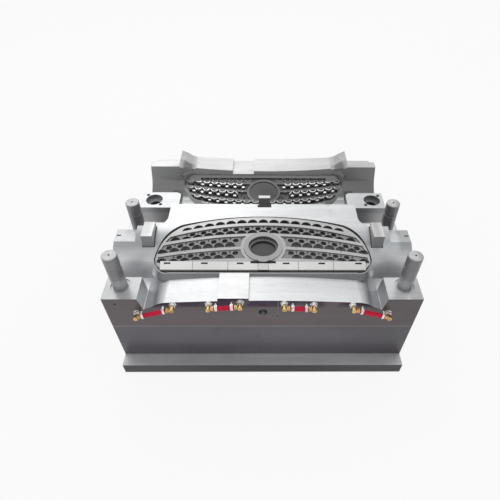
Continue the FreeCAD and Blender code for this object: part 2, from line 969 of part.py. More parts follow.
def return_pin_places():
    """Return pins: x, y and the height of the face that they end in."""
    places = []
    for side in (-1.0, 1.0):
        places.append((side * return_pin_x, return_pin_y, pad_height))
        places.append((side * front_return_x, front_return_y, valley_height))
    return places


def holes_through_core(gap):
    """Every hole that a moving pin or rod needs through the core plate."""
    tools = []
    for x, y in ejector_pin_places():
        tools.append(rod(x, y, core_plate_bottom - past, tall, ejector_pin_radius + gap))
    for x, y, face in return_pin_places():
        tools.append(rod(x, y, core_plate_bottom - past, face + past, return_pin_radius + gap))
    for x in lifter_middles():
        tools.append(lifter_rod(x, core_plate_bottom - lifter_rod_overlap,
                                lifter_foot_of_head + lifter_rod_overlap,
                                lifter_rod_radius + gap))
    return tools


def lifter_pockets(front_reach=0.0):
    """One open pocket for each row of three lifters, reaching further forward if asked."""
    spans = lifter_spans()
    half = len(spans) // 2
    pockets = []
    for group in (spans[:half], spans[half:]):
        pocket = lifter_head(group[0][0], group[-1][1], lifter_clearance, True)
        pockets.append(pocket)
        if front_reach:
            ahead = pocket.copy()
            ahead.translate(Vector(0, -front_reach, 0))
            pockets.append(ahead)
    return pockets


def front_holes():
    down = Vector(0, 1, 0)
    tools = [
        Part.makeCylinder(lifting_hole_radius, lifting_hole_depth,
                          Vector(0, 0, lifting_hole_height), down),
        Part.makeCylinder(vent_hole_radius, vent_hole_depth,
                          Vector(0, 0, vent_hole_height), down),
        Part.makeCylinder(vent_hole_radius, block_hole_depth,
                          Vector(block_hole_x, 0, block_hole_height), down),
        block(strap_slot_x - strap_slot_width / 2.0, strap_slot_x + strap_slot_width / 2.0,
              0, strap_slot_depth, strap_slot_low, strap_slot_high),
    ]
    for x0, z0, x1, z1 in hose_places:
        for x, z in ((x0, z0), (x1, z1)):
            tools.append(Part.makeCylinder(elbow_thread_radius + running_gap,
                                           elbow_thread_length + past, Vector(x, 0, z), down))
    return tools


def core_plate():
    plate = core_form(rear_pocket_x, rear_pocket_y, rear_pocket_radius)
    slot = block(pry_slot_x - pry_slot_width / 2.0, pry_slot_x + pry_slot_width / 2.0,
                 return_pin_y - return_pin_radius - pry_slot_length,
                 return_pin_y - return_pin_radius, pad_height - pry_slot_depth, tall)
    groove = grille_prism(groove_width, insert_seat_height, tall)
    groove = groove.cut(below_surface(-groove_depth, insert_seat_height))
    tools = on_both_sides(slot)
    tools.append(groove)
    tools.append(grille_prism(insert_clearance, insert_seat_height, tall))
    tools.append(skirt_insert(insert_clearance))
    tools.append(side_lock(side_lock_gap, side_lock_low - side_lock_gap, tall))
    for side in (-1.0, 1.0):
        tools.append(interlock_block(side, interlock_gap, interlock_seat, tall))
    plate = cut_all(plate, tools)
    plate = cut_all(plate, pin_holes() + core_screws(screw_gap) + front_holes())
    return cut_all(plate, holes_through_core(running_gap) + lifter_pockets())


def grille_insert():
    """The core insert that forms the back of the grille: bars, hexagons and arches."""
    body = grille_prism(0.0, insert_seat_height, tall).common(below_surface(0.0))
    inner = grille_prism(-rim_width, insert_seat_height, tall)
    keep_out = ellipse_prism(centre_insert_half_x + bar_width, centre_insert_half_y + bar_width,
                             insert_seat_height, tall)
    above = block(-half_width, half_width, 0, half_depth, insert_seat_height, tall)
    above = above.cut(below_surface(-row_recess))
    rows = []
    for row in range(len(bar_middles)):
        rows.append(row_region(row).common(inner).cut(keep_out).common(above))
    body = cut_all(body, rows)
    cells = []
    for x, y, half_x, half_y, slope in hex_cells():
        cells.append(hex_prism(x, y, half_x, half_y, slope, surface_height(y) - arch_depth, tall))
    for x, feet, half_x, crown in arch_cells():
        floor = surface_height(feet[0]) - arch_depth
        cells.append(arch_prism(x, feet, half_x, crown, floor, tall))
    for x, y in dot_places():
        cells.append(hex_prism(x, y, dot_size, dot_size, 0.0, surface_height(y) - arch_depth, tall))
    body = cut_all(body, cells)
    seat = ellipse_prism(centre_insert_half_x + insert_clearance,
                         centre_insert_half_y + insert_clearance,
                         lifter_foot_of_head + rim_width, tall)
    body = cut_all(body, [seat] + lifter_pockets(rim_width))
    return cut_all(body, holes_through_core(running_gap) + rim_slots())


def centre_insert():
    """Plain oval insert: a raised ring and a ledge around a smooth sunk disc."""
    low = lifter_foot_of_head + rim_width
    outer = ellipse_prism(centre_insert_half_x, centre_insert_half_y, low, tall)
    inner = ellipse_prism(centre_insert_half_x - centre_ring_width,
                          centre_insert_half_y - centre_ring_width, low, tall)
    ring = outer.cut(inner).common(below_surface(centre_ring_rise))
    core = ellipse_prism(centre_insert_half_x - centre_ring_width - centre_ledge_width,
                         centre_insert_half_y - centre_ring_width - centre_ledge_width, low, tall)
    ledge = inner.cut(core).common(below_surface(-centre_ledge_drop))
    disc = inner.common(below_surface(-centre_disc_drop))
    body = ring.fuse([ledge, disc])
    return cut_all(body, lifter_pockets())


def elbow_and_barb(x, z, toward_x, toward_z):
    """One brass elbow: thread in the plate, square forged body and barb for the hose."""
    bend = Vector(x, -hose_standoff, z)
    thread = rod_between(Vector(x, elbow_thread_length, z), Vector(x, 0, z), elbow_thread_radius)
    body = block(x - elbow_radius, x + elbow_radius, -hose_standoff - elbow_radius, 0,
                 z - elbow_radius, z + elbow_radius)
    way = Vector(toward_x - x, 0, toward_z - z)
    body.rotate(Vector(x, 0, z), Vector(0, -1, 0), math.degrees(math.atan2(way.z, way.x)))
    way.normalize()
    collar = rod_between(bend, bend + way * (barb_length - barb_cover - hose_end_gap),
                         elbow_collar_radius)
    barb = rod_between(bend, bend + way * barb_length, barb_radius)
    return thread.fuse([body, collar, barb])


def hose_set(x0, z0, x1, z1):
    """Elbows, hose and clips of one cooling hose."""
    start = Vector(x0, -hose_standoff, z0)
    end = Vector(x1, -hose_standoff, z1)
    way = end - start
    way.normalize()
    near = start + way * (barb_length - barb_cover)
    far = end - way * (barb_length - barb_cover)
    tube = rod_between(near, far, hose_radius).cut(rod_between(start, end, hose_bore))
    elbows = [elbow_and_barb(x0, z0, x1, z1), elbow_and_barb(x1, z1, x0, z0)]
    clips = []
    for middle in (near + way * clip_width, far - way * clip_width):
        low = middle - way * (clip_width / 2.0)
        high = middle + way * (clip_width / 2.0)
        ring = rod_between(low, high, hose_radius + clip_thickness)
        clips.append(ring.cut(rod_between(low - way, high + way, hose_radius + running_gap)))
    return elbows, tube, clips


def support_pillars(grow=0.0):
    pillars = []
    for x, y in pillar_places:
        pillars.append(rod(x, y, clamp_plate_thickness, core_plate_bottom, pillar_radius + grow))
    return pillars


def ejector_guides(grow=0.0):
    pins = []
    for x in (-ejector_guide_x, ejector_guide_x):
        pins.append(rod(x, ejector_guide_y, clamp_plate_thickness, core_plate_bottom,
                        ejector_guide_radius + grow))
    return pins


def stop_buttons():
    buttons = []
    for x in stop_button_x:
        for y in (ejector_front + 3.0 * stop_button_radius,
                  ejector_back - 1.5 * stop_button_radius):
            buttons.append(rod(x, y, clamp_plate_thickness, ejector_bottom, stop_button_radius))
    return buttons


# Ejector assembly

def pin_bodies(low_head, places, radius, head_radius, head_thickness):
    pins = []
    for x, y, top in places:
        head = rod(x, y, low_head, low_head + head_thickness, head_radius)
        pins.append(head.fuse(rod(x, y, low_head, top, radius)))
    return pins


def ejector_pin_tops():
    return [(x, y, surface_height(y - ejector_pin_radius)) for x, y in ejector_pin_places()]


def plate_blank(low, high):
    half = ejector_plate_width / 2.0
    return block(-half, half, ejector_front, ejector_back, low, high)


def ejector_screw_places():
    places = []
    for x in ejector_screw_x:
        for y in (ejector_front + ejector_screw_front, ejector_back - ejector_screw_back):
            places.extend([(x, y), (-x, y)])
    return places


def guide_bush_tools():
    tools = []
    for x in (-ejector_guide_x, ejector_guide_x):
        tools.append(rod(x, ejector_guide_y, ejector_bottom - past, retainer_top + past,
                         ejector_guide_bush_radius + running_gap))
    return tools


def ejector_plate():
    tools = support_pillars(plate_hole_gap) + guide_bush_tools()
    for x, y in ejector_screw_places():
        tools.append(rod(x, y, ejector_bottom - past, ejector_bottom + small_screw_head_height,
                         small_screw_head_radius + screw_gap))
        tools.append(rod(x, y, ejector_bottom, retainer_bottom + past,
                         small_screw_radius + screw_gap))
    return cut_all(plate_blank(ejector_bottom, retainer_bottom), tools)


def retainer_plate():
    tools = support_pillars(plate_hole_gap) + guide_bush_tools()
    for x, y in ejector_screw_places():
        tools.append(rod(x, y, retainer_bottom - past,
                         retainer_bottom + retainer_screw_grip + screw_gap,
                         small_screw_radius + screw_gap))
    for x, y in ejector_pin_places():
        tools.append(rod(x, y, retainer_bottom - past,
                         retainer_bottom + ejector_head_thickness + running_gap,
                         ejector_head_radius + running_gap))
        tools.append(rod(x, y, retainer_bottom, retainer_top + past,
                         ejector_pin_radius + running_gap))
    for x, y, _ in return_pin_places():
        tools.append(rod(x, y, retainer_bottom - past,
                         retainer_bottom + return_head_thickness + running_gap,
                         return_head_radius + running_gap))
        tools.append(rod(x, y, retainer_bottom, retainer_top + past,
                         return_pin_radius + running_gap))
    travel = ejector_stroke * lifter_lean
    for x in lifter_middles():
        tools.append(lifter_foot(x, lifter_clearance, travel))
    return cut_all(plate_blank(retainer_bottom, retainer_top), tools)


def ejector_screws():
    screws = []
    length = ejector_plate_thickness - small_screw_head_height + retainer_screw_grip
    for x, y in ejector_screw_places():
        screws.append(socket_screw(x, y, ejector_bottom + screw_head_sink, small_screw_radius,
                                   small_screw_head_radius,
                                   small_screw_head_height - screw_head_sink, length))
    return screws


def ejector_bushes():
    bushes = []
    for x in (-ejector_guide_x, ejector_guide_x):
        outer = rod(x, ejector_guide_y, ejector_bottom, retainer_top, ejector_guide_bush_radius)
        inner = rod(x, ejector_guide_y, ejector_bottom - past, retainer_top + past,
                    ejector_guide_radius + running_gap)
        bushes.append(outer.cut(inner))
    return bushes


def rim_slots():
    """Clip slots in the lower rim and the long slot below the centre insert."""
    slots = [block(-long_slot_half, long_slot_half, long_slot_front, long_slot_back,
                   surface_height(long_slot_back) - long_slot_depth, tall)]
    for x in clip_slot_x:
        slot = block(x - clip_slot_width / 2.0, x + clip_slot_width / 2.0, clip_slot_front,
                     clip_slot_back, surface_height(clip_slot_front) - clip_slot_depth, tall)
        slots += on_both_sides(slot)
    return slots


def lifter(x0, x1):
    """One lifter: sloping head in the rim of the grille and its rod down to the foot."""
    gap = lifter_clearance / 2.0
    middle = 0.5 * (x0 + x1)
    head = cut_all(lifter_head(x0 + gap, x1 - gap), rim_slots())
    low = retainer_bottom + lifter_foot_thickness
    return head.fuse(lifter_rod(middle, low, lifter_foot_of_head + lifter_rod_overlap,
                                lifter_rod_radius))


def lifter_foot_piece(x):
    low = retainer_bottom + lifter_foot_thickness
    bore = lifter_rod(x, low, retainer_top + lifter_rod_overlap, lifter_rod_radius + running_gap)
    return lifter_foot(x).cut(bore)


# Cavity half, drawn closed and turned over when it is saved

def cavity_space():
    """Everything of the cavity half between the core and the clamp plate."""
    pocket_x = half_width - bush_plate_width
    pocket_y = half_depth - bush_plate_depth
    form = core_form(pocket_x, pocket_y, bush_plate_radius)
    grille = grille_prism(0.0, insert_seat_height, tall)
    grille = grille.common(below_surface(wall_of_moulding))
    space = block(-half_width, half_width, 0, half_depth, valley_height - past, cavity_top)
    tools = [form, grille, skirt_insert()]
    for side in (-1.0, 1.0):
        tools.append(interlock_block(side, interlock_gap, interlock_seat,
                                     interlock_height + interlock_gap))
    return cut_all(space, tools)


def bush_plate_zone(side):
    x0 = half_width - bush_plate_width
    y0 = half_depth - bush_plate_depth
    zone = block(x0 - past, half_width + past, y0 - past, half_depth + past, bush_plate_low - past,
                 bush_plate_high)
    return zone if side > 0 else mirrored(zone)


def bush_plate(side):
    x0 = half_width - bush_plate_width
    y0 = half_depth - bush_plate_depth
    plate = rounded_corner_block(x0, half_width, y0, half_depth, bush_plate_low, bush_plate_high,
                                 x0, y0, bush_plate_radius)
    tools = [rod(pin_x, rear_pin_y, bush_plate_low - past, bush_plate_high + past,
                 bush_plate_hole_radius)]
    for x, y, start in bush_screw_places():
        if start == bush_plate_high and x > 0:
            tools.append(rod(x, y, bush_plate_low - past,
                             bush_plate_low + small_screw_head_height + screw_gap,
                             small_screw_head_radius + screw_gap))
            tools.append(rod(x, y, bush_plate_low, bush_plate_high + past,
                             small_screw_radius + screw_gap))
    plate = cut_all(plate, tools)
    return plate if side > 0 else mirrored(plate)


def bush_screws(grow=0.0):
    """Screws beside the guide bushes, their heads down on the closed mould."""
    screws = []
    for x, y, start in bush_screw_places():
        low = bush_plate_low if start == bush_plate_high else start
        grip = start - low - small_screw_head_height + small_screw_grip
        grip = max(grip, small_screw_grip)
        if grow:
            screws.append(rod(x, y, low - past, low + small_screw_head_height + grow,
                              small_screw_head_radius + grow))
            screws.append(rod(x, y, low - past, low + small_screw_head_height + grip + grow,
                              small_screw_radius + grow))
        else:
            screws.append(socket_screw(x, y, low + screw_head_sink, small_screw_radius,
                                       small_screw_head_radius,
                                       small_screw_head_height - screw_head_sink, grip))
    return screws


def cavity_plate():
    plate = cavity_space()
    tools = [bush_plate_zone(-1.0), bush_plate_zone(1.0)]
    tools += bush_holes() + bush_screws(screw_gap) + cavity_screws(screw_gap)
    tools.append(grille_prism(groove_width, insert_seat_height, cavity_insert_back))
    tools.append(side_lock(running_gap))
    tools.append(Part.makeCylinder(lifting_hole_radius, lifting_hole_depth,
                                   Vector(0, 0, closed_height - cavity_lifting_height),
                                   Vector(0, 1, 0)))
    for side in (-1.0, 1.0):
        tools.append(rod(side * sprue_x, sprue_y, valley_height, tall, sprue_bush_radius))
    return cut_all(plate, tools)


def cavity_insert():
    """The cavity insert: the front of the grille as raised arches in a hollow."""
    body = grille_prism(groove_width - insert_clearance, insert_seat_height, cavity_insert_back)
    body = body.cut(below_surface(wall_of_moulding, 0.0))
    inner = grille_prism(-rim_width, insert_seat_height, tall)
    keep_out = ellipse_prism(centre_insert_half_x + bar_width, centre_insert_half_y + bar_width,
                             insert_seat_height, tall)
    band = below_surface(wall_of_moulding + cavity_band_depth)
    bands = []
    for row in range(len(bar_middles)):
        bands.append(row_region(row).common(inner).cut(keep_out).common(band))
    rim_row = block(-rim_row_reach, rim_row_reach, rim_row_front, rim_row_back,
                    insert_seat_height, tall)
    bands.append(rim_row.cut(keep_out).common(band))
    ring_space = ellipse_prism(centre_insert_half_x, centre_insert_half_y, insert_seat_height, tall)
    bands.append(ring_space.common(below_surface(wall_of_moulding + centre_ring_rise)))
    body = cut_all(body, bands)
    high = cavity_insert_back - past
    pads = []
    for x, feet, half_x, crown in arch_cells():
        low = surface_height(feet[0]) - row_recess
        rib = arch_prism(x, feet, half_x, crown, low, high, shut_off_gap)
        below = [foot - 2.0 * arch_rib for foot in feet]
        pads.append(rib.cut(arch_prism(x, below, half_x - arch_rib, crown - arch_rib,
                                       low - past, high, shut_off_gap)))
    for x, y, half_x, half_y, slope in hex_cells():
        pads.append(hex_prism(x, y, half_x - 2.0 * shut_off_gap, half_y - shut_off_gap, slope,
                              surface_height(y) - row_recess, high))
    crown = rim_row_back - shut_off_gap
    low = surface_height(crown) + wall_of_moulding
    half_x = (cell_pitch - arch_wall) / 2.0
    for column in cell_columns():
        x = cell_pitch * column
        if abs(x) + cell_width < rim_row_reach and outside_centre(x, crown, bar_width + arch_rib):
            foot = rim_row_front + shut_off_gap
            rib = arch_prism(x, [foot, foot], half_x, crown, low, high)
            pads.append(rib.cut(arch_prism(x, [foot - 2.0 * arch_rib, foot - 2.0 * arch_rib],
                                           half_x - arch_rib, crown - arch_rib,
                                           low - past, high)))
    body = body.fuse(pads)
    tools = []
    for side in (-1.0, 1.0):
        tools.append(rod(side * sprue_x, sprue_y, valley_height, tall, sprue_bush_radius))
    return cut_all(body, tools)


def cavity_clamp_plate():
    plate = block(-half_width, half_width, -clamp_flange, half_depth + clamp_flange,
                  cavity_top, closed_height)
    tools = cavity_screws(screw_gap)
    tools.append(rod(0, half_depth / 2.0, closed_height - locating_ring_thickness, tall,
                     locating_ring_radius + running_gap))
    tools.append(rod(0, half_depth / 2.0, cavity_top - past, tall, locating_ring_bore))
    return cut_all(plate, tools)


def locating_ring():
    outer = rod(0, half_depth / 2.0, closed_height - locating_ring_thickness, closed_height,
                locating_ring_radius)
    bore = rod(0, half_depth / 2.0, cavity_top, tall, locating_ring_bore)
    return outer.cut(bore)


def sprue_bushes():
    bushes = []
    for side in (-1.0, 1.0):
        x = side * sprue_x
        low = surface_height(sprue_y) + wall_of_moulding + row_recess
        outer = rod(x, sprue_y, low, cavity_top, sprue_bush_radius - running_gap)
        bushes.append(outer.cut(rod(x, sprue_y, low - past, cavity_top + past, sprue_bore_radius)))
    return bushes


def build():
    os.makedirs("parts", exist_ok=True)
    save("core_clamp_plate", [core_clamp_plate()])
    save("front_rail", [rail(0, rail_thickness)])
    save("rear_rail", [rail(half_depth - rail_thickness, half_depth)])
    save("core_plate", [core_plate()])
    save("grille_insert", [grille_insert()])
    save("centre_insert", [centre_insert()])
    save("skirt_insert", [cut_all(skirt_insert(), front_holes())])
    save("interlock_left", [interlock_block(-1.0)])
    save("interlock_right", [interlock_block(1.0)])
    names = ("front_left", "front_right", "rear_left", "rear_right")
    for name, place in zip(names, pin_places()):
        save("guide_pin_" + name, [guide_pin(*place)])
    save("core_screws", core_screws())
    save("support_pillars", support_pillars())
    save("ejector_guide_pins", ejector_guides())
    save("stop_buttons", stop_buttons())
    all_elbows = []
    all_clips = []
    for number, place in enumerate(hose_places, 1):
        elbows, tube, clips = hose_set(*place)
        all_elbows += elbows
        all_clips += clips
        save("hose_" + str(number), [tube])
    save("hose_elbows", all_elbows)
    save("hose_clips", all_clips)
    save("ejector_plate", [ejector_plate()])
    save("retainer_plate", [retainer_plate()])
    save("ejector_screws", ejector_screws())
    save("ejector_guide_bushes", ejector_bushes())
    save("ejector_pins", pin_bodies(retainer_bottom, ejector_pin_tops(), ejector_pin_radius,
                                    ejector_head_radius, ejector_head_thickness))
    save("return_pins", pin_bodies(retainer_bottom, return_pin_places(), return_pin_radius,
                                   return_head_radius, return_head_thickness))
    for number, (x0, x1) in enumerate(lifter_spans(), 1):
        save("lifter_" + str(number), [lifter(x0, x1)])
        save("lifter_foot_" + str(number), [lifter_foot_piece(0.5 * (x0 + x1))])
    save("cavity_plate", [cavity_plate()], turned=True)
    save("cavity_insert", [cavity_insert()], turned=True)
    save("bush_plate_left", [bush_plate(-1.0)], turned=True)
    save("bush_plate_right", [bush_plate(1.0)], turned=True)
    for name, place in zip(names, bush_places()):
        save("guide_bush_" + name, [guide_bush(*place)], turned=True)
    save("bush_screws", bush_screws(), turned=True)
    save("cavity_clamp_plate", [cavity_clamp_plate()], turned=True)
    save("cavity_screws", cavity_screws(), turned=True)
    save("locating_ring", [locating_ring()], turned=True)
    save("sprue_bushes", sprue_bushes(), turned=True)
    save("side_lock", [side_lock()], turned=True)


build()
for name, count, valid, volume in saved_nodes:
    print(name, count, "solids", "valid" if valid else "NOT VALID", volume, "cm3")
print(len(saved_nodes), "nodes")
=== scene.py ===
# %% [markdown]
# An injection mould for a vehicle grille, dressed for the studio
#
# The mould stands open: the core half in front with its guide pins up, and the cavity half
# behind it, turned over so that its hollow faces the viewer. The solids come from the packed
# CAD model and stay where they are. This file gives them eased edges, machined and polished
# steel, brass fittings and red hoses, and it lights and frames the picture.

# %% Load the frame
import math
import json

import bpy
from mathutils import Matrix, Vector

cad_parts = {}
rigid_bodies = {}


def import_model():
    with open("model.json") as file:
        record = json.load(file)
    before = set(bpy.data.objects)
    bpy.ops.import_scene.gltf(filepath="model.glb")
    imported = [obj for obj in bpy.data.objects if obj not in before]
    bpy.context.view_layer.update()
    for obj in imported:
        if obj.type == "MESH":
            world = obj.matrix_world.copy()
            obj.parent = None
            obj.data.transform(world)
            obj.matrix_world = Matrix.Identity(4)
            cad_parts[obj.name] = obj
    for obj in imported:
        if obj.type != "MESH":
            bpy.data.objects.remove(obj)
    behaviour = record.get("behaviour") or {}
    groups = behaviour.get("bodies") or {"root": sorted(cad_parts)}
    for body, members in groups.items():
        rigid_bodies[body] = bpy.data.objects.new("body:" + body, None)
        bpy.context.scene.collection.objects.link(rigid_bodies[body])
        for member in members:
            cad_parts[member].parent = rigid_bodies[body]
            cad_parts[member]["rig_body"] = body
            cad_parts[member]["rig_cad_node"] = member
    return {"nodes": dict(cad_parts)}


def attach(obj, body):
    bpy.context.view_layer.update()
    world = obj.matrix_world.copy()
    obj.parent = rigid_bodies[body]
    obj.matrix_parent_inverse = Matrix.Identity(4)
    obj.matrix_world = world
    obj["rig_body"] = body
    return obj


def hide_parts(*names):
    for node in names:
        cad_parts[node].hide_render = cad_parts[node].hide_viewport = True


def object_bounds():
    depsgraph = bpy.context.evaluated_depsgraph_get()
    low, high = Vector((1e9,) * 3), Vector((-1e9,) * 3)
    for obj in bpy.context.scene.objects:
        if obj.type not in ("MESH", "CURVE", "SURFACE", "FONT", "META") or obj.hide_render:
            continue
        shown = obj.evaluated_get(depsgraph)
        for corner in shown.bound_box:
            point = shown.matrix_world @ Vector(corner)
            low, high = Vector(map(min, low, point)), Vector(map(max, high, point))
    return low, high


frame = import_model()
cad_low, cad_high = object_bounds()
nodes = frame["nodes"]
print("nodes:", len(nodes), "box", [round(v, 3) for v in cad_low], [round(v, 3) for v in cad_high])

# %% [markdown]
# Camera
#
# The photograph was taken from above the front of the mould with a wide lens. Its place and
# tilt were found by fitting the corners of the mould, so they are written here as numbers:
# how far it is turned, tipped and rolled, where it stands, and where its optical axis meets
# the picture. Blender takes the last one as a small shift.

# %% Camera
picture_size = 500.0
focal_pixels = 411.82
optical_axis = (269.62, 259.36)
camera_place = Vector((0.0040, -1.6134, 1.7890))
camera_yaw, camera_pitch, camera_roll = (math.radians(v) for v in (-1.11, 46.47, 0.91))

forward = Vector((-math.sin(camera_yaw) * math.cos(camera_pitch),
                  math.cos(camera_yaw) * math.cos(camera_pitch), -math.sin(camera_pitch)))
level = Vector((math.cos(camera_yaw), math.sin(camera_yaw), 0.0))
above = level.cross(forward)
right = math.cos(camera_roll) * level + math.sin(camera_roll) * above
up = -math.sin(camera_roll) * level + math.cos(camera_roll) * above

bpy.ops.object.camera_add()
camera = bpy.context.object
camera.name = "camera"
camera.data.sensor_width = 36.0
camera.data.lens = 36.0 * focal_pixels / picture_size
camera.data.shift_x = -(optical_axis[0] - picture_size / 2) / picture_size
camera.data.shift_y = (optical_axis[1] - picture_size / 2) / picture_size
camera.data.clip_end = 100.0
turn = Matrix((right, up, -forward)).transposed()
camera.matrix_world = Matrix.Translation(camera_place) @ turn.to_4x4()
bpy.context.scene.camera = camera
print("lens %.2f mm, shift %.4f %.4f" % (camera.data.lens, camera.data.shift_x, camera.data.shift_y))

# %% [markdown]
# Shader expressions
#
# A finish is easier to read as a sum than as a web of nodes. This class wraps one output of
# a node, so that a product or a difference of two of them adds the Math nodes by itself.
# Every other node comes from one method, which takes its type, its settings and its inputs.

# %% Shader expressions


class Field:
    """One number or colour that varies over a surface."""

    def __init__(self, finish, socket):
        self.finish = finish
        self.socket = socket

    def _with(self, operation, *values):
        return self.finish.node("ShaderNodeMath", {"operation": operation}, values)

    def __add__(self, other):
        return self._with("ADD", self, other)

    __radd__ = __add__

    def __mul__(self, other):
        return self._with("MULTIPLY", self, other)

    __rmul__ = __mul__

    def __sub__(self, other):
        return self._with("SUBTRACT", self, other)

    def __rsub__(self, other):
        return self._with("SUBTRACT", other, self)

    def __truediv__(self, other):
        return self._with("DIVIDE", self, other)

    def __pow__(self, other):
        return self._with("POWER", self, other)

    def size(self):
        return self._with("ABSOLUTE", self)

    def least(self, other):
        return self._with("MINIMUM", self, other)

    def most(self, other):
        return self._with("MAXIMUM", self, other)

    def step(self, low, high):
        """0 below low, 1 above high, smooth between."""
        return self.finish.node("ShaderNodeMapRange", {"interpolation_type": "SMOOTHSTEP"},
                                {"Value": self, "From Min": low, "From Max": high})

    def ramp(self, stops):
        """A ramp of colours: a list of (place, (red, green, blue))."""
        return self.finish.node("ShaderNodeValToRGB", {"stops": stops}, {"Fac": self}, "Color")


class Finish:
    """A material that is built from expressions."""

    def __init__(self, name, metallic, roughness):
        self.material = bpy.data.materials.new(name)
        self.material.use_nodes = True
        self.tree = self.material.node_tree
        self.shader = self.tree.nodes["Principled BSDF"]
        self.shader.inputs["Metallic"].default_value = metallic
        self.shader.inputs["Roughness"].default_value = roughness

    def node(self, kind, settings=None, inputs=(), output=0):
        made = self.tree.nodes.new(kind)
        for key, value in (settings or {}).items():
            if key == "stops":
                self._set_stops(made.color_ramp, value)
            else:
                setattr(made, key, value)
        pairs = inputs.items() if isinstance(inputs, dict) else enumerate(inputs)
        for key, value in pairs:
            if isinstance(value, Field):
                self.tree.links.new(value.socket, made.inputs[key])
            else:
                made.inputs[key].default_value = value
        return Field(self, made.outputs[output])

    def _set_stops(self, ramp, stops):
        while len(ramp.elements) < len(stops):
            ramp.elements.new(1.0)
        for element, (place, colour) in zip(ramp.elements, stops):
            element.position = place
            element.color = (*colour, 1.0)

    def place(self):
        """Object coordinates as a vector."""
        return self.node("ShaderNodeTexCoord", output="Object")

    def facing(self):
        """The way a surface faces, as three numbers."""
        normal = self.node("ShaderNodeTexCoord", output="Normal")
        return [self.node("ShaderNodeSeparateXYZ", {}, [normal], axis) for axis in "XYZ"]

    def parts(self, vector):
        return [self.node("ShaderNodeSeparateXYZ", {}, [vector], axis) for axis in "XYZ"]

    def noise(self, vector, stretch, scale, detail=2.0, rough=0.5):
        scaled = self.node("ShaderNodeMapping", {}, {"Vector": vector, "Scale": stretch})
        settings = {"Vector": scaled, "Scale": scale, "Detail": detail, "Roughness": rough}
        return self.node("ShaderNodeTexNoise", {}, settings, "Fac")

    def mixed(self, share, first, second, blend="MIX"):
        """Mix two colours by a share from 0 to 1."""
        made = self.tree.nodes.new("ShaderNodeMix")
        made.data_type = "RGBA"
        made.blend_type = blend
        for socket, value in ((made.inputs["Factor"], share), (made.inputs[6], first),
                              (made.inputs[7], second)):
            if isinstance(value, Field):
                self.tree.links.new(value.socket, socket)
            elif isinstance(value, tuple):
                socket.default_value = (*value, 1.0)
            else:
                socket.default_value = value
        return Field(self, made.outputs[2])

    def shaded(self, tone, shade):
        """A colour times a number."""
        grey = self.node("ShaderNodeCombineColor", {}, [shade, shade, shade])
        return self.mixed(1.0, tone, grey, "MULTIPLY")

    def set(self, name, value):
        self.tree.links.new(value.socket, self.shader.inputs[name])

    def bump(self, height, distance, strength=1.0):
        self.set("Normal", self.node("ShaderNodeBump", {}, {
            "Height": height, "Distance": distance, "Strength": strength}))


print("shader expressions ready")

# %% [markdown]
# Machined steel
#
# A mould plate is rolled, milled and then ground only where it has to seal or slide. The
# colour follows the way a face looks, a ramp over the upward part of the normal: this is
# painted shade, which keeps the top faces bright and the slopes and sides dark, as light from
# above leaves them. Long streaks follow the grinding, clouds give the soft stains of oil, and
# a fine bump makes the cutter's lines.

# %% Machined steel
flange_width = 0.061
half_width, half_length = cad_high.x, cad_high.y - flange_width
# The first share is painted shade that darkens the right half towards its edge; the second is the tint of
# the dark purple patches below the skirt.
right_painted_shade, patch_tint = 0.16, (0.040, 0.022, 0.048)
# A painted highlight: a bright line along the seam between the plates at this height.
seam_height, seam_reach, seam_highlight_gain = 0.2915, 0.005, 0.7
# Shares of painted shade on the outer top faces, of painted light on the right shelf, and of dark oil in
# the joints.
outer_top_shade_share, lit_share, joint_share = 0.26, 0.45, 0.6

# where a tone begins and where it is whole, in metres
middle_end, rear_edge, front_end = (0.44, 0.47), (0.49, 0.51), (-0.45, -0.40)
skirt_end, skirt_foot = (0.44, 0.50), (0.415, 0.445)
middle_side_reach, pin_foot, joint_reach = (0.15, 0.50), (0.51, 0.56), (0.0004, 0.0020)
block_start, block_foot = (0.46, 0.50), (0.43, 0.47)
shelf_start, shelf_end, shelf_foot, core_back = (0.49, 0.52), (0.585, 0.610), (0.40, 0.44), (-0.10, -0.09)

# which part of the normal looks up
top_faces, side_faces = (0.7, 0.9), (0.3, 0.6)


def outer_shade_and_patches(finish, place, base, tone):
    """The outermost side faces get painted shade, and the front face dark purple patches just below the
    skirt.
    """
    across, along, height = finish.parts(place)
    rim = across.size().step(half_width - 0.001, half_width - 0.0002).most(
        along.size().step(half_length - 0.001, half_length - 0.0002))
    # dark purple patches on the front face just below the skirt
    dark_patches = finish.noise(place, (1.0, 1.0, 1.0), 6.0, 3.0, 0.6).step(0.35, 0.55)
    dark_patches = dark_patches * height.step(*skirt_foot) * (1.0 - across.size().step(*skirt_end))
    dark_patches = dark_patches * (1.0 - along.step(*front_end))
    return finish.mixed(rim, base, finish.mixed(dark_patches, tone, patch_tint))


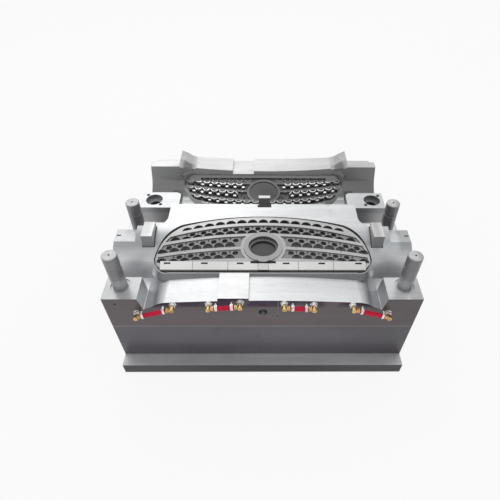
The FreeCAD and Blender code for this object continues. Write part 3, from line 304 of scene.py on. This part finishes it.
def joints_and_painted_light(finish, place, upward, joints, foot_highlight, middle_side_shade):
    """How much brighter or darker a place is: dark oil in the joints, and painted light and shade."""
    across, along, height = finish.parts(place)
    sideways = 1.0 - upward.size().step(*side_faces)
    foot = (1.0 - height.step(*pin_foot)) * (1.0 - along.step(*front_end))
    # painted highlight: the sides of the front pins brighter towards their feet
    shade = 1.0 + foot * sideways * foot_highlight
    # painted shade: the sides darker in the middle
    shade = shade * (1.0 - (1.0 - across.size().step(*middle_side_reach)) * sideways * middle_side_shade)
    for joint in joints:
        dry = (across.size() - joint).size().step(*joint_reach)
        shade = shade * (dry * joint_share + (1.0 - joint_share))
    # painted shade: darker towards the right edge, as light from the left leaves it
    shade = shade * (1.0 - across.step(0.0, half_width) * right_painted_shade)
    # painted highlight: a bright line where the broken edges of the seam catch the light
    seam_highlight = 1.0 - ((height - seam_height).size() / seam_reach).step(0.3, 1.0)
    # painted shade: the top faces of the outer blocks, pads and shelf are darker
    milled = across.size().step(*block_start) * height.step(*block_foot) * upward.step(*top_faces)
    # painted light: the top faces of the right shelf on the core are brighter
    lit = across.step(*shelf_start) * (1.0 - across.step(*shelf_end)) * upward.step(*top_faces)
    lit = lit * height.step(*shelf_foot) * (1.0 - along.step(*core_back))
    return shade * (1.0 + seam_highlight * seam_highlight_gain) * (1.0 - milled * outer_top_shade_share) * (1.0 + lit * lit_share)


def steel(name, tones, metallic, roughness, streak=(1.0, 12.0, 12.0), streak_depth=0.14,
          cloud_depth=0.22, stain_depth=0.25, scratch_depth=0.08, bump=0.00004,
          outer=None, middle=None, back=None, joints=(), foot_highlight=0.0, middle_side_shade=0.0):
    """Tones are (upward part of the normal, colour) from the sides to the top faces.

    Outer is the colour of the outermost side faces: painted shade, with a purple tint
    that is a painted reflection of the red hoses.
    Middle holds the tones of the middle of the mould, where painted shade leaves the slopes darker.
    Back holds the tones of the rear edge, where painted light leaves the slopes lighter.
    Joints are the places left and right of the middle where oil stands in a thin gap.
    The last two shares paint light and shade: a painted highlight that brightens the sides of the
    front pins towards their feet, and painted shade that darkens the sides in the middle.
    """
    finish = Finish(name, metallic, roughness)
    place = finish.place()
    _, _, upward = finish.facing()
    across, along, _ = finish.parts(place)
    # painted shade: the colour follows the way a face looks, dark sides and bright tops
    base = upward.most(0.0).ramp(tones)
    # painted shade: the slopes in the middle of the mould darker
    if middle:
        base = finish.mixed(across.size().step(*middle_end), upward.most(0.0).ramp(middle), base)
    # painted light: the slopes of the rear edge lighter
    if back:
        base = finish.mixed(along.step(*rear_edge), base, upward.most(0.0).ramp(back))
    if outer:
        base = outer_shade_and_patches(finish, place, base, outer)
    streaks = finish.noise(place, streak, 22.0, 4.0, 0.65)
    bands = finish.noise(place, (0.5, 5.0, 5.0), 4.0, 4.0, 0.7)
    clouds = finish.noise(place, (1.0, 1.6, 1.6), 2.6, 4.0, 0.6)
    stains = finish.noise(place, (1.0, 1.0, 0.6), 11.0, 5.0, 0.7).step(0.60, 0.78)
    scratches = finish.noise(place, (1.0, 40.0, 40.0), 20.0, 2.0, 0.6).step(0.62, 0.74)
    shade = 1.0 - (streaks - 0.5) * (2.0 * streak_depth)
    shade = shade * (1.0 + (clouds - 0.5) * (2.0 * cloud_depth))
    shade = shade * (1.0 + (bands - 0.5) * (3.0 * streak_depth))
    shade = shade * (1.0 - scratches * scratch_depth) * (1.0 - stains * stain_depth)
    shade = shade * joints_and_painted_light(finish, place, upward, joints, foot_highlight, middle_side_shade)
    finish.set("Base Color", finish.shaded(base, shade))
    finish.set("Roughness", (streaks - 0.5) * 0.25 + (clouds - 0.5) * 0.25 + roughness)
    finish.bump(streaks, bump)
    return finish.material


# The outer and rail tones are painted shade on the outermost side faces; the purple of the outer tone is
# a painted reflection of the red hoses.
outer_tone = (0.130, 0.110, 0.118)
rail_tone = (0.118, 0.112, 0.126)
# Each ramp of tones below is painted shade: faces that look sideways are darker, faces that look up
# brighter.
plate_tones = [(0.0, (0.36, 0.365, 0.375)), (0.35, (0.66, 0.67, 0.69)), (0.70, (0.62, 0.635, 0.65)),
               (0.90, (0.47, 0.49, 0.505)), (0.97, (0.59, 0.61, 0.625)), (1.0, (0.76, 0.775, 0.785))]
# painted shade: darker slopes and sides for the middle of the mould
middle_tones = [(0.0, (0.24, 0.245, 0.25)), (0.35, (0.19, 0.193, 0.20)), (0.70, (0.20, 0.205, 0.212)),
                (0.90, (0.42, 0.435, 0.445)), (0.97, (0.615, 0.635, 0.65)), (1.0, (0.785, 0.80, 0.81))]
plate_steel = steel("machined plate steel", plate_tones, 0.6, 0.34, outer=outer_tone, middle=middle_tones)
rail_steel = steel("milled rail steel", plate_tones, 0.6, 0.34, cloud_depth=0.32, stain_depth=0.35,
                   outer=rail_tone)
# painted shade on the slopes in the hollow; the rear tones paint the slopes of the rear edge lighter
hollow_tones = [(0.0, (0.46, 0.46, 0.465)), (0.30, (0.24, 0.242, 0.246)), (0.90, (0.18, 0.182, 0.186)),
                (0.97, (0.45, 0.455, 0.46)), (1.0, (0.78, 0.78, 0.785))]
rear_tones = [(0.0, (0.46, 0.46, 0.465)), (0.30, (0.52, 0.52, 0.525)), (0.90, (0.50, 0.50, 0.505)),
              (0.97, (0.60, 0.60, 0.605)), (1.0, (0.78, 0.78, 0.785))]
hollow_steel = steel("milled hollow steel", hollow_tones, 0.6, 0.36, outer=outer_tone, back=rear_tones)
clamp_tones = [(0.0, (0.062, 0.061, 0.064)), (0.6, (0.30, 0.30, 0.305)), (1.0, (0.62, 0.615, 0.63))]
clamp_steel = steel("oily clamp plate steel", clamp_tones, 0.5, 0.46, stain_depth=0.4, middle_side_shade=0.5)
insert_tones = [(0.0, (0.46, 0.46, 0.465)), (0.45, (0.46, 0.46, 0.465)), (1.0, (0.80, 0.80, 0.805))]
insert_steel = steel("fine ground insert steel", insert_tones, 0.65, 0.36, streak=(1.0, 3.0, 3.0),
                     streak_depth=0.05, stain_depth=0.1, scratch_depth=0.02, bump=0.00001,
                     outer=outer_tone)
pin_tones = [(0.0, (0.24, 0.24, 0.25)), (0.6, (0.38, 0.38, 0.39)), (1.0, (0.66, 0.66, 0.67))]
pin_steel = steel("hardened pin steel", pin_tones, 0.7, 0.38, streak=(3.0, 3.0, 30.0), foot_highlight=0.8)
screw_tones = [(0.0, (0.05, 0.05, 0.052)), (1.0, (0.09, 0.09, 0.092))]
screw_steel = steel("black oxide screw steel", screw_tones, 0.5, 0.45, streak_depth=0.04)
print("steels:", [m.name for m in (plate_steel, rail_steel, hollow_steel, clamp_steel, insert_steel,
                                   pin_steel, screw_steel)])

# %% [markdown]
# Grille steel
#
# The bars of the grille form are hand polished, and the pockets between them are spark
# eroded, which leaves them matt. The grille surface is part of a cylinder along X, so how deep
# a point lies is its distance from that cylinder, and the tone follows the depth: bright on
# the bars, grey on the sunk bands, dark in the pockets, partly the dull eroded finish and partly
# painted shade in the recesses. Faces that look less upward get painted shade, and the broken
# edges of the pockets get a painted highlight. The block between the two middle lifters is
# polished as they are.

# %% Grille steel
grille_cylinder = (-0.12764, -0.16405, 0.72881)
imprint_cylinder = (0.12764, 1.00205, 0.73181)
block_edge, block_rear, block_tone = (0.0208, 0.0216), (-0.4125, -0.4110), (0.72, 0.72, 0.71)


def form_steel(name, tones, span, metallic, roughness, cylinder, tilts, edge_share):
    """Steel whose tone follows the distance inside the cylinder, over a span of metres.

    A cylinder is the place of its axis along Y and Z, and its radius.
    Tilts are (upward part of the normal, share of the tone): painted shade by the way a face
    looks. A broken edge looks neither along the radius nor sideways, and gets a painted highlight of its
    own.
    """
    finish = Finish(name, metallic, roughness)
    place = finish.place()
    x, y, z = finish.parts(place)
    _, backward, upward = finish.facing()
    axis_y, axis_z, radius = cylinder
    reach = ((y - axis_y) * (y - axis_y) + (z - axis_z) * (z - axis_z)) ** 0.5
    outward = (backward * (y - axis_y) + upward * (z - axis_z)).size() / reach
    # The tones over the depth paint shade in the recesses, and on the imprint highlights on its ridges;
    # on the grille the darker recesses are partly the dull eroded finish too.
    depth = ((radius - span[0] - reach) / (span[1] - span[0])).most(0.0).least(1.0)
    clouds = finish.noise(place, (1.0, 1.0, 1.0), 9.0, 4.0, 0.6)
    fine = finish.noise(place, (1.0, 1.0, 1.0), 160.0, 3.0, 0.6)
    between = (1.0 - x.size().step(*block_edge)) * (1.0 - y.step(*block_rear)) * upward.step(0.4, 0.6)
    base = finish.mixed(between, depth.ramp(tones), block_tone)
    # painted shade by the way a face looks: on the grille faces that look less upward are darker, on the
    # imprint faces that look straight up are darker than their broken edges
    tilt = upward.most(0.0).ramp([(part, (share, share, share)) for part, share in tilts])
    # painted highlight on the broken edges
    edge = upward.step(0.15, 0.35) * outward.step(0.35, 0.55) * (1.0 - outward.step(0.93, 0.98))
    shade = (1.0 + (clouds - 0.5) * 0.30) * (1.0 + (fine - 0.5) * 0.40) * (1.0 + edge * edge_share)
    finish.set("Base Color", finish.shaded(finish.mixed(1.0, base, tilt, "MULTIPLY"), shade))
    finish.set("Roughness", (clouds - 0.5) * 0.16 + roughness)
    finish.bump(fine, 0.00006)
    return finish.material


# bright bars, darker sunk bands and pockets: partly the dull eroded finish, partly painted shade in the
# recesses
grille_tones = [(0.0, (0.52, 0.52, 0.518)), (0.10, (0.42, 0.42, 0.418)),
                (0.24, (0.30, 0.30, 0.299)), (0.36, (0.26, 0.26, 0.26)), (1.0, (0.34, 0.34, 0.34))]
# painted shade on faces that look less upward
form_tilts = [(0.0, 0.55), (1.0, 1.0)]
grille_steel = form_steel("polished grille steel", grille_tones, (0.0, 0.020), 0.7, 0.30,
                          grille_cylinder, form_tilts, 3.0)
# painted shade: the centre insert darker the deeper its recess
seat_tones = [(0.0, (0.46, 0.46, 0.455)), (0.30, (0.34, 0.34, 0.34)), (0.50, (0.22, 0.22, 0.22)),
              (1.0, (0.10, 0.10, 0.102))]
seat_steel = form_steel("polished seat steel", seat_tones, (-0.010, 0.022), 0.7, 0.28,
                        grille_cylinder, form_tilts, 1.0)

# %% [markdown]
# Lifters, imprint, brass, zinc and rubber
#
# The lifters are polished and stained by warm oil, their tops painted nearly white and their
# sides darker, painted shade by the way a face looks. The cavity imprint is polished, with
# painted highlights on its ridges and painted shade on its sunk ground. Brass is one warm tone
# with a duller bloom, zinc plate is bright and slightly cloudy, and the hoses are smooth red
# rubber with a soft sheen.

# %% Lifters, imprint, brass, zinc and rubber
# painted shade: dark lifter sides, bright tops
lifter_tones = [(0.0, (0.26, 0.26, 0.255)), (0.5, (0.34, 0.34, 0.335)), (0.9, (0.78, 0.78, 0.77)),
                (1.0, (0.82, 0.82, 0.81))]
lifter_joints = (0.022, 0.150, 0.300)
lifter_steel = steel("polished lifter steel", lifter_tones, 0.6, 0.28, streak=(1.0, 2.0, 2.0),
                     streak_depth=0.03, cloud_depth=0.15, stain_depth=0.2, scratch_depth=0.02,
                     bump=0.000005, joints=lifter_joints)
# painted highlights on the raised ridges and pads, painted shade on the sunk ground
imprint_tones = [(0.0, (0.07, 0.07, 0.072)), (0.25, (0.10, 0.10, 0.102)), (0.40, (0.45, 0.45, 0.45)),
                 (0.52, (0.17, 0.17, 0.172)), (0.60, (0.19, 0.19, 0.19)), (0.70, (0.90, 0.90, 0.90)),
                 (1.0, (0.95, 0.95, 0.95))]
# painted shade on faces that look straight up, so that the broken edges of the pads shine as painted
# highlights
imprint_tilts = [(0.0, 1.0), (0.95, 1.0), (0.995, 0.7), (1.0, 0.7)]
imprint_steel = form_steel("polished imprint steel", imprint_tones, (-0.012, 0.010), 0.8, 0.2,
                           imprint_cylinder, imprint_tilts, 3.0)


bloom_scale, grain_scale = 60.0, 720.0


def fitting(name, colour, duller, roughness, metallic=1.0):
    """A small piece's colour, with a duller bloom in patches."""
    finish = Finish(name, metallic, roughness)
    place = finish.place()
    bloom = finish.noise(place, (1.0, 1.0, 1.0), bloom_scale, 3.0, 0.6).step(0.42, 0.68)
    fine = finish.noise(place, (1.0, 1.0, 1.0), grain_scale, 2.0, 0.5)
    finish.set("Base Color", finish.mixed(bloom, colour, duller))
    finish.set("Roughness", bloom * 0.18 + (fine - 0.5) * 0.10 + roughness)
    finish.bump(fine, 0.00005)
    return finish.material


brass = fitting("machined brass", (0.66, 0.46, 0.20), (0.46, 0.31, 0.13), 0.26)
zinc = fitting("bright zinc plate", (0.78, 0.78, 0.79), (0.50, 0.51, 0.53), 0.24)
red_rubber = fitting("red rubber hose", (0.64, 0.006, 0.045), (0.50, 0.006, 0.034), 0.40, 0.0)
red_rubber.node_tree.nodes["Principled BSDF"].inputs["Specular IOR Level"].default_value = 0.25
print("small finishes ready")

# %% Which finish each solid takes
finish_of = {}
for finish, names in (
    (clamp_steel, ("core_clamp_plate", "cavity_clamp_plate")),
    (hollow_steel, ("cavity_plate",)),
    (rail_steel, ("front_rail", "rear_rail")),
    (plate_steel, ("core_plate", "bush_plate_left", "bush_plate_right", "ejector_plate", "retainer_plate",
                   "support_pillars", "stop_buttons")),
    (insert_steel, ("skirt_insert", "interlock_left", "interlock_right", "side_lock")),
    (lifter_steel, ("lifter_1", "lifter_2", "lifter_3", "lifter_4", "lifter_5", "lifter_6")),
    (grille_steel, ("grille_insert",)),
    (seat_steel, ("centre_insert",)),
    (imprint_steel, ("cavity_insert",)),
    (screw_steel, ("core_screws", "ejector_screws", "bush_screws", "cavity_screws", "sprue_bushes")),
    (brass, ("hose_elbows", "ejector_guide_bushes")),
    (red_rubber, ("hose_1", "hose_2", "hose_3", "hose_4")),
    (zinc, ("hose_clips",)),
):
    finish_of.update((name, finish) for name in names)
for name, node in nodes.items():
    node.data.materials.clear()
    node.data.materials.append(finish_of.get(name, pin_steel))
print("finishes on", len(nodes), "solids")

# %% [markdown]
# Eased edges
#
# No edge on a real mould is knife sharp: the fitter breaks each one with a file, and the
# narrow slope catches the light all round the plate. The CAD solids have sharp edges. A copy
# of each solid in view is merged, its flat faces are made whole again, and its edges get a
# bevel of about a millimetre. Weighted normals keep the big faces flat in the shading.

# %% Eased edges


def select_only(piece):
    bpy.ops.object.select_all(action="DESELECT")
    piece.hide_set(False)
    piece.select_set(True)
    bpy.context.view_layer.objects.active = piece


def apply_modifier(kind, **settings):
    """Add a modifier to the active piece, set it and apply it."""
    bpy.ops.object.modifier_add(type=kind)
    modifier = bpy.context.object.modifiers[-1]
    for key, value in settings.items():
        setattr(modifier, key, value)
    bpy.ops.object.modifier_apply(modifier=modifier.name)


def eased(name, width, segments=2, corner=30.0):
    """A copy of a CAD solid with its edges broken, which stands for the solid."""
    select_only(nodes[name])
    bpy.ops.object.duplicate()
    piece = bpy.context.object
    piece.name = name + "_eased"
    del piece["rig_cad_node"]
    bpy.ops.object.mode_set(mode="EDIT")
    bpy.ops.mesh.select_all(action="SELECT")
    bpy.ops.mesh.remove_doubles(threshold=0.00001)
    bpy.ops.mesh.dissolve_limited(angle_limit=math.radians(0.2))
    bpy.ops.object.mode_set(mode="OBJECT")
    apply_modifier("BEVEL", width=width, segments=segments, limit_method="ANGLE",
                   angle_limit=math.radians(corner))
    bpy.ops.object.shade_smooth_by_angle(angle=math.radians(corner))
    apply_modifier("WEIGHTED_NORMAL", keep_sharp=True)
    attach(piece, nodes[name]["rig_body"])
    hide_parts(name)
    return piece


eased_widths = {"core_clamp_plate": 0.003, "front_rail": 0.0025, "rear_rail": 0.0025,
                "core_plate": 0.0018, "cavity_plate": 0.0015, "cavity_clamp_plate": 0.0015,
                "bush_plate_left": 0.0012, "bush_plate_right": 0.0012, "skirt_insert": 0.0008,
                "interlock_left": 0.0015, "interlock_right": 0.0015, "side_lock": 0.0012,
                "grille_insert": 0.0011, "centre_insert": 0.0015, "cavity_insert": 0.0012,
                "guide_pin_front_left": 0.0005, "guide_pin_front_right": 0.0005,
                "guide_pin_rear_left": 0.0005, "guide_pin_rear_right": 0.0005,
                "guide_bush_front_left": 0.0008, "guide_bush_front_right": 0.0008,
                "guide_bush_rear_left": 0.0008, "guide_bush_rear_right": 0.0008,
                "lifter_1": 0.0003, "lifter_2": 0.0003, "lifter_3": 0.0003,
                "lifter_4": 0.0003, "lifter_5": 0.0003, "lifter_6": 0.0003}
for name, width in eased_widths.items():
    piece = eased(name, width)
    print("eased", name, len(piece.data.polygons), "faces")

# %% [markdown]
# Cooling hoses
#
# Water runs through the core from one drilled channel to the next, and short red hoses join
# the channels on the front face. Each hose ends on a barb, under a worm clip, and the barb
# belongs to a brass elbow, which is screwed through a plated collar into the plate. A hose
# is a straight round piece, so it is drawn out station by station from one circle. The bend
# of an elbow is a circle spun a quarter turn.

# %% Turning a round piece


def turned_piece(name, stations, vertices=32):
    """A round piece along +X through stations of (place, radius)."""
    (x0, r0), rest = stations[0], stations[1:]
    bpy.ops.mesh.primitive_circle_add(vertices=vertices, radius=r0, fill_type="NGON",
                                      location=(x0, 0, 0), rotation=(0, math.radians(90), 0))
    piece = bpy.context.object
    piece.name = name
    bpy.ops.object.transform_apply(location=True, rotation=True, scale=True)
    bpy.ops.object.mode_set(mode="EDIT")
    bpy.ops.mesh.select_all(action="SELECT")
    for (x, radius), (x_before, radius_before) in zip(rest, stations):
        bpy.ops.mesh.extrude_region_move(
            TRANSFORM_OT_translate={"value": (x - x_before, 0, 0)})
        share = radius / radius_before
        bpy.ops.transform.resize(value=(1, share, share), center_override=(x, 0, 0))
    bpy.ops.mesh.select_all(action="SELECT")
    bpy.ops.mesh.normals_make_consistent(inside=False)
    bpy.ops.object.mode_set(mode="OBJECT")
    return piece


def joined(name, pieces):
    bpy.ops.object.select_all(action="DESELECT")
    for piece in pieces:
        piece.select_set(True)
    bpy.context.view_layer.objects.active = pieces[0]
    bpy.ops.object.join()
    whole = bpy.context.object
    whole.name = name
    return whole


def finished(piece, finish, smooth=35.0, bevel=0.0, segments=2):
    """Break the edges of a new piece, smooth its round faces and give it its finish."""
    select_only(piece)
    if bevel:
        apply_modifier("BEVEL", width=bevel, segments=segments, limit_method="ANGLE",
                       angle_limit=math.radians(smooth))
    bpy.ops.object.shade_smooth_by_angle(angle=math.radians(smooth))
    piece.data.materials.clear()
    piece.data.materials.append(finish)
    return piece


def hex_collar(name, place, radius, length, along):
    """A spanner hexagon around X or Y."""
    turn = (0, math.radians(90), 0) if along == "X" else (math.radians(90), 0, 0)
    bpy.ops.mesh.primitive_cylinder_add(vertices=6, radius=radius, depth=length, location=place,
                                        rotation=turn)
    collar = bpy.context.object
    collar.name = name
    bpy.ops.object.transform_apply(location=True, rotation=True, scale=True)
    return collar


# %% One elbow
hose_standoff = 0.028
bend_radius = 0.012
elbow_radius = 0.0085


def elbow_model():
    """A brass elbow: from the plate at the origin along -Y, then along +X."""
    cap = turned_piece("elbow_cap", [(0.0, 0.0088), (0.0175, 0.0104), (0.0205, 0.0104), (0.0225, 0.0088),
                                     (0.0225, 0.0040), (0.0205, 0.0034)], 24)
    cap.rotation_euler = (0, 0, math.radians(-90))
    cap.location = (0, -0.0165, 0)
    bpy.ops.mesh.primitive_circle_add(vertices=24, radius=elbow_radius, fill_type="NGON",
                                      location=(0, -0.008, 0), rotation=(math.radians(90), 0, 0))
    bend = bpy.context.object
    bpy.ops.object.transform_apply(location=True, rotation=True, scale=True)
    bpy.ops.object.mode_set(mode="EDIT")
    bpy.ops.mesh.select_all(action="SELECT")
    rise = hose_standoff - bend_radius - 0.008
    bpy.ops.mesh.extrude_region_move(TRANSFORM_OT_translate={"value": (0, -rise, 0)})
    bpy.ops.mesh.spin(steps=8, angle=math.radians(90), axis=(0, 0, 1),
                      center=(bend_radius, -hose_standoff + bend_radius, 0))
    bpy.ops.mesh.select_all(action="SELECT")
    bpy.ops.mesh.remove_doubles(threshold=0.00001)
    bpy.ops.mesh.normals_make_consistent(inside=False)
    bpy.ops.object.mode_set(mode="OBJECT")
    neck = turned_piece("elbow_neck", [(bend_radius - 0.002, 0.0085), (0.016, 0.0085), (0.0165, 0.0072),
                                       (0.044, 0.0062)], 24)
    neck.location = (0, -hose_standoff, 0)
    collar = hex_collar("elbow_collar", (0.0195, -hose_standoff, 0), 0.0112, 0.006, "X")
    select_only(cap)
    bpy.ops.object.transform_apply(location=True, rotation=True, scale=True)
    return finished(joined("elbow", [cap, bend, neck, collar]), brass, bevel=0.0006)


def plate_collar_model():
    """The plated collar of an elbow: a washer on the plate and a spanner hexagon."""
    washer = turned_piece("washer", [(0.0, 0.0150), (0.0030, 0.0150), (0.0030, 0.0095)], 32)
    washer.rotation_euler = (0, 0, math.radians(-90))
    select_only(washer)
    bpy.ops.object.transform_apply(location=True, rotation=True, scale=True)
    hexagon = hex_collar("hexagon", (0, -0.0080, 0), 0.0132, 0.011, "Y")
    return finished(joined("plate_collar", [washer, hexagon]), zinc, bevel=0.0005)


def clip_model():
    """A worm clip: a band around X, with the housing of its screw on top."""
    bpy.ops.mesh.primitive_cylinder_add(vertices=36, radius=0.0108, depth=0.011, end_fill_type="NOTHING",
                                        rotation=(0, math.radians(90), 0))
    band = bpy.context.object
    bpy.ops.object.transform_apply(location=True, rotation=True, scale=True)
    apply_modifier("SOLIDIFY", thickness=0.0014, offset=1.0)
    bpy.ops.mesh.primitive_cube_add(size=1.0, location=(0, 0, 0.0138))
    housing = bpy.context.object
    housing.scale = (0.0118, 0.0125, 0.0045)
    select_only(housing)
    bpy.ops.object.transform_apply(location=True, rotation=True, scale=True)
    screw = turned_piece("worm", [(-0.0085, 0.0024), (0.0085, 0.0024), (0.0085, 0.0036), (0.0122, 0.0036),
                                  (0.0122, 0.0016), (0.0112, 0.0014)], 16)
    screw.rotation_euler = (0, 0, math.radians(90))
    screw.location = (0, 0, 0.0155)
    select_only(screw)
    bpy.ops.object.transform_apply(location=True, rotation=True, scale=True)
    return finished(joined("clip", [band, housing, screw]), zinc, bevel=0.0004)


elbow_shape, collar_shape, clip_shape = elbow_model(), plate_collar_model(), clip_model()
print("elbow", len(elbow_shape.data.polygons), "collar", len(collar_shape.data.polygons),
      "clip", len(clip_shape.data.polygons), "faces")

# %% Four hoses on the front face
front_face = -0.591
hose_ends = (
    ((-0.521, 0.394), (-0.367, 0.448)),
    ((-0.221, 0.452), (-0.092, 0.464)),
    ((0.086, 0.456), (0.207, 0.449)),
    ((0.367, 0.446), (0.521, 0.394)),
)
hose_start, hose_radius = 0.022, 0.0102
hose_end_stations = [(0.0, 0.0085), (0.0008, 0.0098), (0.004, 0.0100), (0.006, 0.0094),
                     (0.016, 0.0094), (0.019, 0.0101)]
clip_inset = 0.011


def placed_copy(shape, name, at, tilt, flip=False):
    """A copy of a fitting at a point of the front face, its +X turned up by tilt."""
    select_only(shape)
    bpy.ops.object.duplicate()
    piece = bpy.context.object
    piece.name = name
    turn = Matrix.Rotation(-tilt, 4, "Y")
    if flip:
        turn = turn @ Matrix.Rotation(math.pi, 4, "Y") @ Matrix.Diagonal((1, 1, -1, 1))
    piece.matrix_world = Matrix.Translation((at[0], front_face, at[1])) @ turn
    bpy.ops.object.transform_apply(location=True, rotation=True, scale=True)
    if flip:
        bpy.ops.object.mode_set(mode="EDIT")
        bpy.ops.mesh.select_all(action="SELECT")
        bpy.ops.mesh.normals_make_consistent(inside=False)
        bpy.ops.object.mode_set(mode="OBJECT")
    return piece


for number, (left_end, right_end) in enumerate(hose_ends, 1):
    run = Vector((right_end[0] - left_end[0], 0, right_end[1] - left_end[1]))
    tilt = math.atan2(run.z, run.x)
    length = run.length
    far = length - hose_start
    near_end = [(hose_start + along, radius) for along, radius in hose_end_stations]
    far_end = [(far - along, radius) for along, radius in reversed(hose_end_stations)]
    hose = turned_piece("hose", near_end + [(length / 2, hose_radius)] + far_end)
    finished(hose, red_rubber, smooth=60.0)
    hose.matrix_world = (Matrix.Translation((left_end[0], front_face - hose_standoff, left_end[1]))
                         @ Matrix.Rotation(-tilt, 4, "Y"))
    select_only(hose)
    bpy.ops.object.transform_apply(location=True, rotation=True, scale=True)
    hose.name = "red_hose_%d" % number
    fittings = joined("brass_elbows_%d" % number, [placed_copy(elbow_shape, "a", left_end, tilt),
                                                   placed_copy(elbow_shape, "b", right_end, tilt, True)])
    collars = joined("plated_collars_%d" % number, [placed_copy(collar_shape, "a", left_end, 0.0),
                                                   placed_copy(collar_shape, "b", right_end, 0.0)])
    clips = []
    for along in (hose_start + clip_inset, far - clip_inset):
        way = run.normalized() * along
        clip = placed_copy(clip_shape, "c", (left_end[0] + way.x, left_end[1] + way.z), tilt)
        clip.location.y -= hose_standoff
        select_only(clip)
        bpy.ops.object.transform_apply(location=True, rotation=True, scale=True)
        clips.append(clip)
    clips = joined("worm_clips_%d" % number, clips)
    for piece, node, slot in ((hose, "hose_%d" % number, "hose_rubber"),
                              (fittings, "hose_elbows", "brass"), (collars, "hose_elbows", "clip_steel"),
                              (clips, "hose_clips", "clip_steel")):
        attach(piece, "core_half")
        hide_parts(node)
    print("hose", number, "between elbows %.0f mm, tilt %.1f" % (length * 1000, math.degrees(tilt)))
for shape in (elbow_shape, collar_shape, clip_shape):
    bpy.data.objects.remove(shape)

# %% [markdown]
# Light
#
# The photograph is cut out on white, and its light is soft, with one broad lamp behind and to
# the left that the ground tops reflect. The sky and the floor look white to the camera and in
# reflections, but the sky lights the mould less, so that its sides stay dark. The floor keeps a
# little of its own shading, and with it the shadow of the mould.

# %% Light
floor_white, floor_glow, sky_light = 0.93, 0.88, 0.68
lamp_place, lamp_target, lamp_size, lamp_power = (-1.1, 2.2, 3.2), (0.0, 0.0, 0.4), 2.6, 15.0


def looked_at(tree):
    """1 for the rays that look at a thing, 0 for those that light the others."""
    paths = tree.nodes.new("ShaderNodeLightPath")
    seen = paths.outputs["Is Camera Ray"]
    for kind in ("Is Glossy Ray", "Is Transmission Ray"):
        most = tree.nodes.new("ShaderNodeMath")
        most.operation = "MAXIMUM"
        tree.links.new(seen, most.inputs[0])
        tree.links.new(paths.outputs[kind], most.inputs[1])
        seen = most.outputs[0]
    return seen


def scaled_to(tree, socket, low, high):
    """Map a share from 0 to 1 onto low to high."""
    scale = tree.nodes.new("ShaderNodeMapRange")
    scale.inputs["To Min"].default_value = low
    scale.inputs["To Max"].default_value = high
    tree.links.new(socket, scale.inputs["Value"])
    return scale.outputs[0]


bpy.ops.mesh.primitive_plane_add(size=60.0, location=(0, 0, -0.0005))
floor = bpy.context.object
floor.name = "studio_floor"
white = Finish("studio floor", 0.0, 0.9)
white.shader.inputs["Base Color"].default_value = (floor_white, floor_white, floor_white, 1.0)
glow = white.tree.nodes.new("ShaderNodeEmission")
mix = white.tree.nodes.new("ShaderNodeMixShader")
for source, target in ((scaled_to(white.tree, looked_at(white.tree), 0.0, floor_glow), mix.inputs[0]),
                       (white.shader.outputs[0], mix.inputs[1]), (glow.outputs[0], mix.inputs[2]),
                       (mix.outputs[0], white.tree.nodes["Material Output"].inputs["Surface"])):
    white.tree.links.new(source, target)
floor.data.materials.append(white.material)

world = bpy.data.worlds.new("studio")
bpy.context.scene.world = world
world.use_nodes = True
sky = world.node_tree
sky.links.new(scaled_to(sky, looked_at(sky), sky_light, 1.0), sky.nodes["Background"].inputs["Strength"])
sky.nodes["Background"].inputs["Color"].default_value = (1.0, 1.0, 1.0, 1.0)

bpy.ops.object.light_add(type="AREA", location=lamp_place)
lamp = bpy.context.object
lamp.name = "back_light"
lamp.data.shape = "DISK"
lamp.data.size = lamp_size
lamp.data.energy = lamp_power
lamp.rotation_euler = (Vector(lamp_target) - Vector(lamp_place)).to_track_quat("-Z", "Y").to_euler()
bpy.context.scene.view_settings.view_transform = "Standard"
